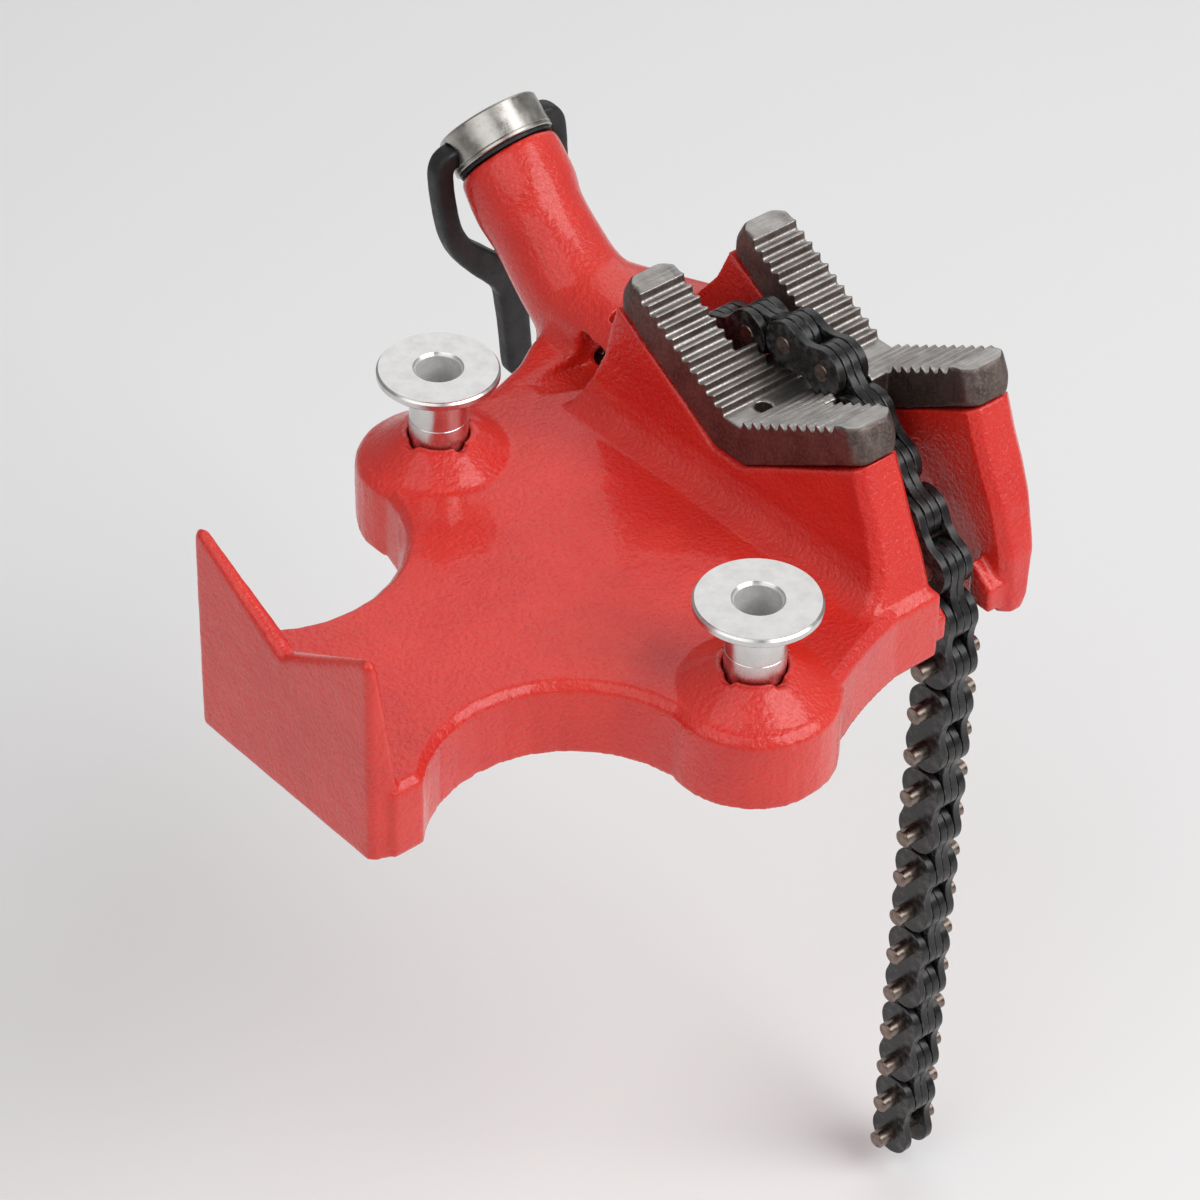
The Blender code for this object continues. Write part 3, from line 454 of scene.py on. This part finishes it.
class Shader:
    """A material's nodes, with short calls for those that the finishes need."""

    def __init__(self, name):
        self.material = bpy.data.materials.new(name)
        self.material.use_nodes = True
        self.nodes = self.material.node_tree.nodes
        self.links = self.material.node_tree.links
        self.surface = self.nodes["Principled BSDF"]
        self.place = self.nodes.new("ShaderNodeTexCoord").outputs["Object"]

    def measure_from(self, place, tilt):
        """Measures all that follows from a turned piece's own axis."""
        node = self.nodes.new("ShaderNodeMapping")
        node.vector_type = "TEXTURE"
        node.inputs["Location"].default_value = place
        node.inputs["Rotation"].default_value = (tilt, 0, 0)
        self.join(self.place, node.inputs["Vector"])
        self.place = node.outputs["Vector"]

    def set(self, **values):
        for key, value in values.items():
            self.surface.inputs[key.replace("_", " ")].default_value = value

    def join(self, output, target):
        self.links.new(output, target)

    def stretched(self, scale):
        node = self.nodes.new("ShaderNodeMapping")
        node.inputs["Scale"].default_value = scale
        self.join(self.place, node.inputs["Vector"])
        return node.outputs["Vector"]

    def noise(self, size, detail=3.0, place=None, roughness=0.55):
        """Noise whose lumps are about as large as size, from 0 to 1."""
        node = self.nodes.new("ShaderNodeTexNoise")
        node.inputs["Scale"].default_value = 1 / size
        node.inputs["Detail"].default_value = detail
        node.inputs["Roughness"].default_value = roughness
        self.join(place or self.place, node.inputs["Vector"])
        return node.outputs["Fac"]

    def attribute(self, name):
        node = self.nodes.new("ShaderNodeAttribute")
        node.attribute_name = name
        return node.outputs["Fac"]

    def ramp(self, value, low, high, from_low=0.35, from_high=0.65):
        """Maps a value from one range to another, and holds it there."""
        node = self.nodes.new("ShaderNodeMapRange")
        node.inputs["From Min"].default_value = from_low
        node.inputs["From Max"].default_value = from_high
        node.inputs["To Min"].default_value = low
        node.inputs["To Max"].default_value = high
        self.join(value, node.inputs["Value"])
        return node.outputs["Result"]

    def times(self, first, second):
        node = self.nodes.new("ShaderNodeMath")
        node.operation = "MULTIPLY"
        self.join(first, node.inputs[0])
        self.join(second, node.inputs[1])
        return node.outputs["Value"]

    def mix(self, share, first, second):
        """A colour between two, each a colour or a node's output."""
        node = self.nodes.new("ShaderNodeMix")
        node.data_type = "RGBA"
        self.join(share, node.inputs["Factor"])
        for socket, value in ((node.inputs[6], first), (node.inputs[7], second)):
            if isinstance(value, tuple):
                socket.default_value = (*value, 1.0)
            else:
                self.join(value, socket)
        return node.outputs[2]

    def bump(self, height, distance, strength=1.0, under=None):
        node = self.nodes.new("ShaderNodeBump")
        node.inputs["Distance"].default_value = distance
        node.inputs["Strength"].default_value = strength
        self.join(height, node.inputs["Height"])
        if under:
            self.join(under, node.inputs["Normal"])
        return node.outputs["Normal"]

    def rings(self, size):
        """Noise that changes only with the distance from the local Z axis and along it."""
        split = self.nodes.new("ShaderNodeSeparateXYZ")
        self.join(self.place, split.inputs["Vector"])
        flat = self.nodes.new("ShaderNodeCombineXYZ")
        self.join(split.outputs["X"], flat.inputs["X"])
        self.join(split.outputs["Y"], flat.inputs["Y"])
        reach = self.nodes.new("ShaderNodeVectorMath")
        reach.operation = "LENGTH"
        self.join(flat.outputs["Vector"], reach.inputs[0])
        turned_place = self.nodes.new("ShaderNodeCombineXYZ")
        self.join(reach.outputs["Value"], turned_place.inputs["X"])
        self.join(split.outputs["Z"], turned_place.inputs["Z"])
        return self.noise(size, 2.0, turned_place.outputs["Vector"])

    def finish(self, colour, roughness, normal):
        for output, key in ((colour, "Base Color"), (roughness, "Roughness"), (normal, "Normal")):
            self.join(output, self.surface.inputs[key])
        return self.material


def enamel():
    """Glossy red enamel with orange peel, fine grain and faint blotches."""
    deep, bright, light = (0.66, 0.016, 0.012), (0.75, 0.026, 0.014), (0.86, 0.07, 0.035)
    blotch_size = 0.040
    lump_size, lump_depth = 0.0023, 0.0011
    grain_size, grain_depth = 0.0013, 0.00028
    made = Shader("red_enamel")
    made.set(Coat_Weight=0.45, Coat_Roughness=0.12, IOR=1.45, Coat_IOR=1.5)
    blotches = made.noise(blotch_size)
    grain = made.noise(grain_size, 2.0)
    lumps = made.noise(lump_size, 2.0)
    colour = made.mix(made.ramp(blotches, 0, 1), deep, bright)
    colour = made.mix(made.ramp(grain, 0, 0.12), colour, light)
    normal = made.bump(lumps, lump_depth)
    normal = made.bump(grain, grain_depth, 0.8, normal)
    return made.finish(colour, made.ramp(lumps, 0.27, 0.38), normal)


def milled_steel():
    """Milled on the toothed faces and the tips, and rough as forged on the rest."""
    dull, bright, scored = (0.34, 0.32, 0.305), (0.50, 0.48, 0.465), (0.21, 0.185, 0.17)
    brown, tan, pale = (0.105, 0.075, 0.066), (0.175, 0.135, 0.120), (0.30, 0.26, 0.24)
    stroke_size, stroke_depth = 0.0009, 0.00006
    pebble_size, pebble_depth = 0.0016, 0.00022
    stain_size = 0.010
    lengthwise = (0.05, 1, 1)
    made = Shader("milled_steel")
    made.set(Metallic=0.9)
    strokes = made.noise(stroke_size, 3.0, made.stretched(lengthwise))
    stains = made.noise(stain_size, 5.0)
    pebbles = made.noise(pebble_size)
    machined = made.attribute("machined")
    milled = made.mix(made.ramp(stains, 0, 1), dull, bright)
    milled = made.mix(made.ramp(strokes, 0, 0.5), milled, scored)
    rough = made.mix(made.ramp(stains, 0, 1), brown, tan)
    rough = made.mix(made.ramp(pebbles, 0, 0.5, 0.45, 0.75), rough, pale)
    normal = made.bump(pebbles, pebble_depth, 0.7)
    normal = made.bump(strokes, stroke_depth, 0.35, normal)
    return made.finish(made.mix(machined, rough, milled), made.ramp(machined, 0.52, 0.32, 0, 1), normal)


def turned_steel():
    """Bright turned steel, with a pale matt bore."""
    grey, bright = (0.60, 0.59, 0.58), (0.72, 0.715, 0.71)
    groove_size, groove_depth = 0.00040, 0.00003
    haze_size = 0.008
    made = Shader("turned_steel")
    grooves = made.rings(groove_size)
    haze = made.noise(haze_size, 4.0)
    made.join(made.ramp(made.attribute("bore"), 1, 0.15, 0, 1), made.surface.inputs["Metallic"])
    colour = made.mix(made.ramp(haze, 0, 1), grey, bright)
    return made.finish(colour, made.ramp(haze, 0.20, 0.30), made.bump(grooves, groove_depth, 0.30))


def hub_steel():
    """Steel turned round the hub's own axis, with haze and small dark specks."""
    grey, bright, dark = (0.36, 0.34, 0.31), (0.56, 0.545, 0.515), (0.20, 0.175, 0.15)
    groove_size, groove_depth = 0.0005, 0.00005
    haze_size = 0.007
    speck_size = 0.0012
    made = Shader("hub_steel")
    made.set(Metallic=1.0)
    made.measure_from(HUB_BASE, math.atan2(ALONG.z, ALONG.y) - math.pi / 2)
    grooves = made.rings(groove_size)
    haze = made.noise(haze_size, 5.0)
    specks = made.noise(speck_size)
    colour = made.mix(made.ramp(haze, 0, 1), grey, bright)
    colour = made.mix(made.ramp(specks, 0, 0.35, 0.55, 0.75), colour, dark)
    return made.finish(colour, made.ramp(haze, 0.24, 0.36), made.bump(grooves, groove_depth, 0.4))


def forging():
    """Black scale on forged steel."""
    black, grey = (0.012, 0.012, 0.013), (0.026, 0.026, 0.028)
    scale_size, scale_depth = 0.0018, 0.00022
    patch_size = 0.014
    made = Shader("black_forging")
    made.set(Metallic=0.25)
    scale = made.noise(scale_size)
    patches = made.noise(patch_size, 4.0)
    colour = made.mix(made.ramp(patches, 0, 1), black, grey)
    return made.finish(colour, made.ramp(scale, 0.40, 0.56), made.bump(scale, scale_depth, 0.5))


def oxide():
    """Black oxide on the chain's plates, grey along the edges: partly wear to bare steel, partly a painted
    highlight.
    """
    black, soft_black, bare_and_sheen = (0.010, 0.010, 0.010), (0.017, 0.017, 0.017), (0.36, 0.36, 0.37)
    scuff_size = 0.0045
    fine_size, fine_depth = 0.0011, 0.00005
    made = Shader("black_oxide")
    made.set(Metallic=0.12)
    scuffs = made.noise(scuff_size)
    fine = made.noise(fine_size, 2.0)
    film = made.mix(made.ramp(scuffs, 0, 1), black, soft_black)
    # Grey steel on the plates' edges: partly wear, partly a painted highlight that stands in for the edges'
    # reflections
    wear_and_sheen = made.times(made.attribute("wear_and_sheen"), made.ramp(scuffs, 0.0, 0.22, 0.45, 0.65))
    colour = made.mix(wear_and_sheen, film, bare_and_sheen)
    return made.finish(colour, made.ramp(scuffs, 0.24, 0.31), made.bump(fine, fine_depth, 0.35))


def oiled_steel():
    """Brownish steel with a film of oil, for the pins and screws."""
    brown, tan = (0.17, 0.125, 0.10), (0.29, 0.24, 0.21)
    stain_size = 0.003
    fine_size, fine_depth = 0.0008, 0.00005
    made = Shader("oiled_steel")
    made.set(Metallic=0.95)
    stains = made.noise(stain_size, 4.0)
    colour = made.mix(made.ramp(stains, 0, 1), brown, tan)
    normal = made.bump(made.noise(fine_size, 2.0), fine_depth, 0.4)
    return made.finish(colour, made.ramp(stains, 0.24, 0.38), normal)


# Casting, jaw and handle


def cone_notches():
    """Cutters for the four small notches in the rim of each cone, beside the spool's neck."""
    cutters = []
    for node in SPOOLS:
        low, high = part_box(node)
        centre = (Vector(low) + Vector(high)) / 2
        half = NOTCH_WIDTH / 2
        for reach_x, reach_y in ((NOTCH_REACH, half), (half, NOTCH_REACH)):
            near = (centre.x - reach_x, centre.y - reach_y, NOTCH_FLOOR_Z)
            far = (centre.x + reach_x, centre.y + reach_y, NOTCH_TOP_Z)
            cutters.append(block("notch", near, far))
    return cutters


def add_tower_lug(piece):
    """The small lug behind the handle's arm, on the tower's side."""
    form = bmesh.new()
    form.from_mesh(piece.data)
    centre = HUB_BASE - ALONG * LUG_DROP - X_AXIS * (TOWER_RADIUS - LUG_SINK)
    bmesh.ops.create_icosphere(form, subdivisions=3, radius=LUG_RADIUS, matrix=Matrix.Translation(centre))
    form.to_mesh(piece.data)
    form.free()


def casting(paint):
    """The base: remeshed from the solid, softer on the tower, with the unevenness of sand."""
    piece = carved(merged_copy("casting", "base_casting"), cone_notches())
    add_tower_lug(piece)
    remeshed(piece, CAST_VOXEL, CAST_SMOOTHING)
    along = vectors_of(piece.data.vertices, "co")[:, 1]
    softened(piece, share_past(along, TOWER_START_Y, TOWER_BLEND), TOWER_SMOOTHING)
    roughened(piece, ((CAST_WAVE, CAST_WAVE_SIZE), (CAST_GRAIN, CAST_GRAIN_SIZE)))
    return settle(piece, "base", "red_enamel", paint, "base_casting")


def toothed_jaw(steel):
    """The jaw: crisp teeth, rounded tips, and a mark on the machined faces."""
    piece = remeshed(merged_copy("toothed_jaw", "jaw"), JAW_VOXEL, JAW_SMOOTHING)
    reach = np.abs(vectors_of(piece.data.vertices, "co")[:, 1])
    softened(piece, share_past(reach, TIP_START, TIP_BLEND), TIP_SMOOTHING)
    upward = vectors_of(piece.data.vertex_normals, "vector")[:, 2]
    toothed = share_past(upward, MILLED_START_SHARE, MILLED_BLEND_SHARE)
    tip_top = share_past(upward, TIP_TOP_START_SHARE, TIP_TOP_BLEND_SHARE)
    marked(piece, "machined", np.where(reach > TIP_START, tip_top, toothed))
    return settle(piece, "base", "jaw_steel", steel, "jaw")


def yoke_handle(black):
    """The handle: two bent arms that meet in a bar, hanging from the hub's side holes."""
    form = bmesh.new()
    swept_bar(form, HANDLE_ARM)
    swept_bar(form, HANDLE_ARM, -1)
    swept_bar(form, HANDLE_BAR)
    piece = link_object("yoke_handle", mesh_of(outward(form), "yoke_handle"))
    remeshed(piece, HANDLE_VOXEL, HANDLE_SMOOTHING)
    roughened(piece, ((HANDLE_WAVE, HANDLE_WAVE_SIZE),))
    hang = (Z_AXIS - HINGE_AXIS * HINGE_AXIS.z).normalized()
    piece.data.transform(basis(HINGE_AXIS, hang, HINGE))
    return settle(piece, "handle", "black_forging", black, "handle")


# Spools, hub and chain screw


def spool(node, steel):
    """A turned spool: neck with a faint band, flared rim, chamfered bore."""
    low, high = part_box(node)
    radius, top, bottom = (high[0] - low[0]) / 2, high[2], low[2]
    neck, hole, band = SPOOL_NECK_RADIUS, SPOOL_HOLE_RADIUS, BAND_DEPTH
    profile = [
        (hole, bottom), (neck, bottom), (neck, BAND_LOW_Z), (neck - band, BAND_LOW_Z + band),
        (neck - band, BAND_HIGH_Z - band), (neck, BAND_HIGH_Z), (neck, SPOOL_NECK_Z - SPOOL_LIP),
        (neck + SPOOL_LIP, SPOOL_NECK_Z), (radius - SPOOL_LIP, SPOOL_RIM_Z),
        (radius, SPOOL_RIM_Z + SPOOL_LIP), (radius, top - SPOOL_CHAMFER),
        (radius - SPOOL_LIP, top - SPOOL_LIP / 2), (radius - SPOOL_LIP, top),
        (hole + SPOOL_CHAMFER, top), (hole, top - SPOOL_CHAMFER),
    ]
    piece = turned(node.replace("mounting_", ""), profile, FINE_SIDES)
    piece.location = ((low[0] + high[0]) / 2, (low[1] + high[1]) / 2, 0)
    reach = np.linalg.norm(vectors_of(piece.data.vertices, "co")[:, :2], axis=1)
    marked(piece, "bore", reach < hole + band)
    return settle(piece, "base", "turned_steel", steel, node)


def side_hole(direction):
    """A cutter for the hub's hole that takes one end of the handle."""
    wide = HUB_HOLE + 2 * HUB_HOLE_FLARE
    deepest = HUB_RADIUS - HUB_HOLE_DEPTH
    beyond = HUB_RADIUS + HUB_HOLE
    profile = [
        (0, deepest), (HUB_HOLE, deepest), (HUB_HOLE, HUB_RADIUS - 2 * HUB_HOLE_FLARE),
        (wide, HUB_RADIUS + HUB_HOLE_FLARE / 2), (wide, beyond), (0, beyond),
    ]
    cutter = turned("side_hole", profile, FINE_SIDES // 2)
    middle = Matrix.Translation(Z_AXIS * HUB_HEIGHT / 2)
    cutter.matrix_world = middle @ Matrix.Rotation(direction * math.pi / 2, 4, "Y")
    return cutter


def hub(steel):
    """The hub: a turned nut with a groove near its foot, and a pilot inside the tower."""
    edge, groove = HUB_EDGE, GROOVE_DEPTH
    profile = [
        (HUB_BORE, -PILOT_LENGTH), (HUB_PILOT, -PILOT_LENGTH), (HUB_PILOT, 0), (HUB_RADIUS - edge / 2, 0),
        (HUB_RADIUS, edge / 2), (HUB_RADIUS, GROOVE_Z - groove), (HUB_RADIUS - groove, GROOVE_Z),
        (HUB_RADIUS, GROOVE_Z + groove), (HUB_RADIUS, HUB_HEIGHT - edge), (HUB_RADIUS - edge, HUB_HEIGHT),
        (HUB_BORE + edge, HUB_HEIGHT), (HUB_BORE, HUB_HEIGHT - edge),
    ]
    piece = carved(turned("hub", profile, FINE_SIDES), [side_hole(1), side_hole(-1)])
    shaded(piece.data, HUB_SHARP_DEG)
    piece.data.transform(basis(HINGE_AXIS, ALONG, HUB_BASE))
    return settle(piece, "hub", "brushed_steel", steel, "hub_nut")


def threaded_rod(low, high):
    """A closed rod along local Z, whose thread runs out above its lower end; its top is chamfered."""
    form = bmesh.new()
    count = round((high - low) / THREAD_STEP)
    rings = []
    for row in range(count + 1):
        z = low + (high - low) * row / count
        depth = THREAD_DEPTH * min((z - low) / THREAD_RUN_OUT, 1)
        chamfer = max(SCREW_CHAMFER - (high - z), 0)
        ring = []
        for step in range(THREAD_SIDES):
            share = step / THREAD_SIDES
            phase = (z / THREAD_PITCH - share) % 1
            groove = min(max((THREAD_GROOVE_SHARE - abs(2 * phase - 1)) / THREAD_FLANK_SHARE, 0), 1)
            radius = SCREW_RADIUS - max(depth * groove, chamfer)
            angle = math.tau * share
            ring.append(form.verts.new((radius * math.cos(angle), radius * math.sin(angle), z)))
        rings.append(ring)
    closed_bar(form, rings)
    return link_object("threaded_rod", shaded(mesh_of(outward(form), "threaded_rod"), TURNED_SHARP_DEG))


def screw(steel):
    """The chain screw: a threaded rod above the clevis, which keeps the solid's own form."""
    clevis = merged_copy("screw_clevis", "chain_screw")
    room = 2 * SCREW_RADIUS
    above = block("above", (-room, -room, CLEVIS_TOP), (room, room, 2 * HUB_HEIGHT))
    above.data.transform(basis(HINGE_AXIS, ALONG, HUB_BASE))
    settle(carved(clevis, [above]), "screw", "pin_steel", steel, "chain_screw")
    rod = threaded_rod(CLEVIS_TOP, HUB_HEIGHT)
    rod.data.transform(basis(HINGE_AXIS, ALONG, HUB_BASE))
    settle(rod, "screw", "pin_steel", steel)


# Chain


def plate_outline():
    """The upper half of a plate's edge as (y, z), from the first eye over the waist to the second."""
    eye = []
    for step in range(LINK_ARC_STEPS + 1):
        angle = LINK_ARC * step / LINK_ARC_STEPS
        eye.append((LINK_RADIUS * math.cos(angle), LINK_RADIUS * math.sin(angle)))
    end_y, end_z = eye[-1]
    waist = []
    for step in range(1, LINK_WAIST_STEPS + 1):
        share = step / LINK_WAIST_STEPS
        y = end_y + (-PITCH / 2 - end_y) * share
        waist.append((y, end_z + (LINK_WAIST - end_z) * math.sin(math.pi / 2 * share)))
    near = eye + waist
    far = [(-PITCH - y, z) for y, z in reversed(near[:-1])]
    return near + far


def plate(form, wear_and_sheen, low, high):
    """One chain plate from x low to high, with narrow chamfers that carry the edge mark of wear and painted
    highlight.
    """
    top = plate_outline()
    outline = top + [(y, -z) for y, z in top[-2:0:-1]]
    middle = Vector((-PITCH / 2, 0))
    rings = []
    rows = (
        # Each row: x, inset, and share of the grey edge mark, which is partly wear and partly a painted
        # highlight
        (low, PLATE_EDGE, PLATE_FACE_WEAR_AND_SHEEN_SHARE), (low + PLATE_EDGE, 0, 1), (low + 2 * PLATE_EDGE, 0, 0),
        (high - 2 * PLATE_EDGE, 0, 0), (high - PLATE_EDGE, 0, 1), (high, PLATE_EDGE, PLATE_FACE_WEAR_AND_SHEEN_SHARE),
    )
    for x, inset, wear_and_sheen_share in rows:
        ring = []
        for y, z in outline:
            offset = Vector((y, z)) - middle
            moved = middle + offset * (1 - inset / offset.length)
            vert = form.verts.new((x, moved.x, moved.y))
            vert[wear_and_sheen] = wear_and_sheen_share
            ring.append(vert)
        rings.append(ring)
    bridge(form, rings)
    for ring, end in ((rings[0], low), (rings[-1], high)):
        fan_cap(form, ring, [form.verts.new((end, y, 0)) for y in (0, -PITCH / 2, -PITCH)])


def fan_cap(form, ring, centres):
    """Closes a ring by faces to the nearest of its centre points, so that the flat face shades evenly."""

    def nearest(index):
        spot = ring[index].co
        return min(range(len(centres)), key=lambda number: abs(centres[number].co.y - spot.y))

    for index in range(len(ring)):
        after = (index + 1) % len(ring)
        here, there = nearest(index), nearest(after)
        form.faces.new((ring[index], ring[after], centres[there]))
        if here != there:
            form.faces.new((ring[index], centres[there], centres[here]))


def pin(form, y, reach):
    """A pin through the plates, with a flat end and a small chamfer on each side."""
    edge = min(PIN_EDGE, reach - PLATE_FACE)
    profile = [
        (0, -reach), (PIN_RADIUS - edge, -reach), (PIN_RADIUS, -reach + edge),
        (PIN_RADIUS, reach - edge), (PIN_RADIUS - edge, reach), (0, reach),
    ]
    bridge(form, turned_rings(form, profile, PIN_SIDES, lambda across, up, x: (x, y + across, up)))


def link_mesh(name, ends):
    """Plates from the first to the second x of each pair of ends."""
    form = bmesh.new()
    # Per-point share of the grey edge mark: partly wear, partly a painted highlight
    wear_and_sheen = form.verts.layers.float.new("wear_and_sheen")
    for low, high in ends:
        plate(form, wear_and_sheen, low, high)
    return shaded(mesh_of(outward(form), name), CHAIN_SHARP_DEG)


def pin_mesh(name, prouds):
    """Pins at each (y, proud), where proud is how far a pin stands out of the plates."""
    form = bmesh.new()
    for y, proud in prouds:
        pin(form, y, PLATE_FACE + proud)
    return shaded(mesh_of(outward(form), name), CHAIN_SHARP_DEG)


def chain(black, brown):
    """Inner links and outer links by turns; each outer link carries its two pins."""
    inner = ((-PLATE_SPLIT + PLATE_SLIT, -PLATE_SLIT / 2), (PLATE_SLIT / 2, PLATE_SPLIT - PLATE_SLIT))
    outer = ((-PLATE_FACE, -PLATE_SPLIT - PLATE_SLIT), (PLATE_SPLIT + PLATE_SLIT, PLATE_FACE))
    meshes = {"inner": link_mesh("inner_plates", inner), "outer": link_mesh("outer_plates", outer)}
    pins = {}
    for index in range(LINK_COUNT):
        number = index + 1
        first, second = PINS[index], PINS[number]
        turn = tilt_to((second - first).cross(X_AXIS), first)
        kind = "inner" if number % 2 == 1 else "outer"
        plates = link_object(f"{kind}_plates_{number:02d}", meshes[kind].copy())
        plates.matrix_world = turn
        settle(plates, f"link_{number:02d}", "black_oxide", black, f"chain_{kind}_link_{number:02d}")
        if kind == "inner":
            continue
        prouds = tuple(LONG_PIN_PROUD if spot >= FIRST_LONG_PIN else PIN_PROUD for spot in (index, number))
        if prouds not in pins:
            pins[prouds] = pin_mesh("rivet_pins", ((0, prouds[0]), (-PITCH, prouds[1])))
        rivets = link_object(f"rivet_pins_{number:02d}", pins[prouds].copy())
        rivets.matrix_world = turn
        settle(rivets, f"link_{number:02d}", "pin_steel", brown)


# Nodes that stay


def repaint(node, material):
    data = NODES[node].data
    data.materials.clear()
    data.materials.append(material)


# Camera, lights and floor


def camera():
    """The camera at the photograph's viewing angle, with its small roll."""
    data = bpy.data.cameras.new("camera")
    data.lens = CAMERA_LENS
    data.sensor_width = SENSOR
    data.clip_start = CLIP_NEAR
    data.clip_end = CLIP_FAR
    eye = bpy.data.objects.new("camera", data)
    bpy.context.scene.collection.objects.link(eye)
    forward = (CAMERA_AIM - CAMERA_PLACE).normalized()
    level = forward.cross(Z_AXIS).normalized()
    right = level * math.cos(CAMERA_ROLL) + level.cross(forward) * math.sin(CAMERA_ROLL)
    eye.matrix_world = basis(right, -forward, CAMERA_PLACE)
    bpy.context.scene.camera = eye


def lamp(name, place, power):
    """A large square area light that looks at the vise."""
    data = bpy.data.lights.new(name, "AREA")
    data.shape = "SQUARE"
    data.size = LAMP_SIZE
    data.energy = power
    made = bpy.data.objects.new(name, data)
    bpy.context.scene.collection.objects.link(made)
    made.location = place
    made.rotation_mode = "QUATERNION"
    made.rotation_quaternion = (Vector(place) - LAMP_AIM).to_track_quat("Z", "Y")


def floor():
    """A plain pale floor below the hanging chain's end."""
    level = CAD_BOX[0].z - FLOOR_DROP
    half = FLOOR_HALF
    corners = [(-half, -half, level), (half, -half, level), (half, half, level), (-half, half, level)]
    mesh = bpy.data.meshes.new("floor")
    mesh.from_pydata(corners, [], [(0, 1, 2, 3)])
    pale = Shader("pale_floor")
    pale.set(Base_Color=(0.92, 0.92, 0.92, 1), Roughness=0.9, Specular_IOR_Level=0.1)
    mesh.materials.append(pale.material)
    link_object("floor", mesh)


def studio():
    """Soft light from three sides and from a white world."""
    for name, place, power in LAMPS:
        lamp(name, place, power)
    world = bpy.data.worlds.new("studio")
    bpy.context.scene.world = world
    world.use_nodes = True
    background = world.node_tree.nodes["Background"]
    background.inputs["Color"].default_value = (1, 1, 1, 1)
    background.inputs["Strength"].default_value = WORLD_STRENGTH
    bpy.context.scene.view_settings.view_transform = "Standard"


def build():
    camera()
    studio()
    floor()
    black, brown = forging(), oiled_steel()
    casting(enamel())
    toothed_jaw(milled_steel())
    yoke_handle(black)
    hub(hub_steel())
    bright = turned_steel()
    for node in SPOOLS:
        spool(node, bright)
    chain(oxide(), brown)
    screw(brown)
    repaint("thrust_washer", black)
    for node in ("clevis_pin", "jaw_screw_front", "jaw_screw_rear"):
        repaint(node, brown)


build()
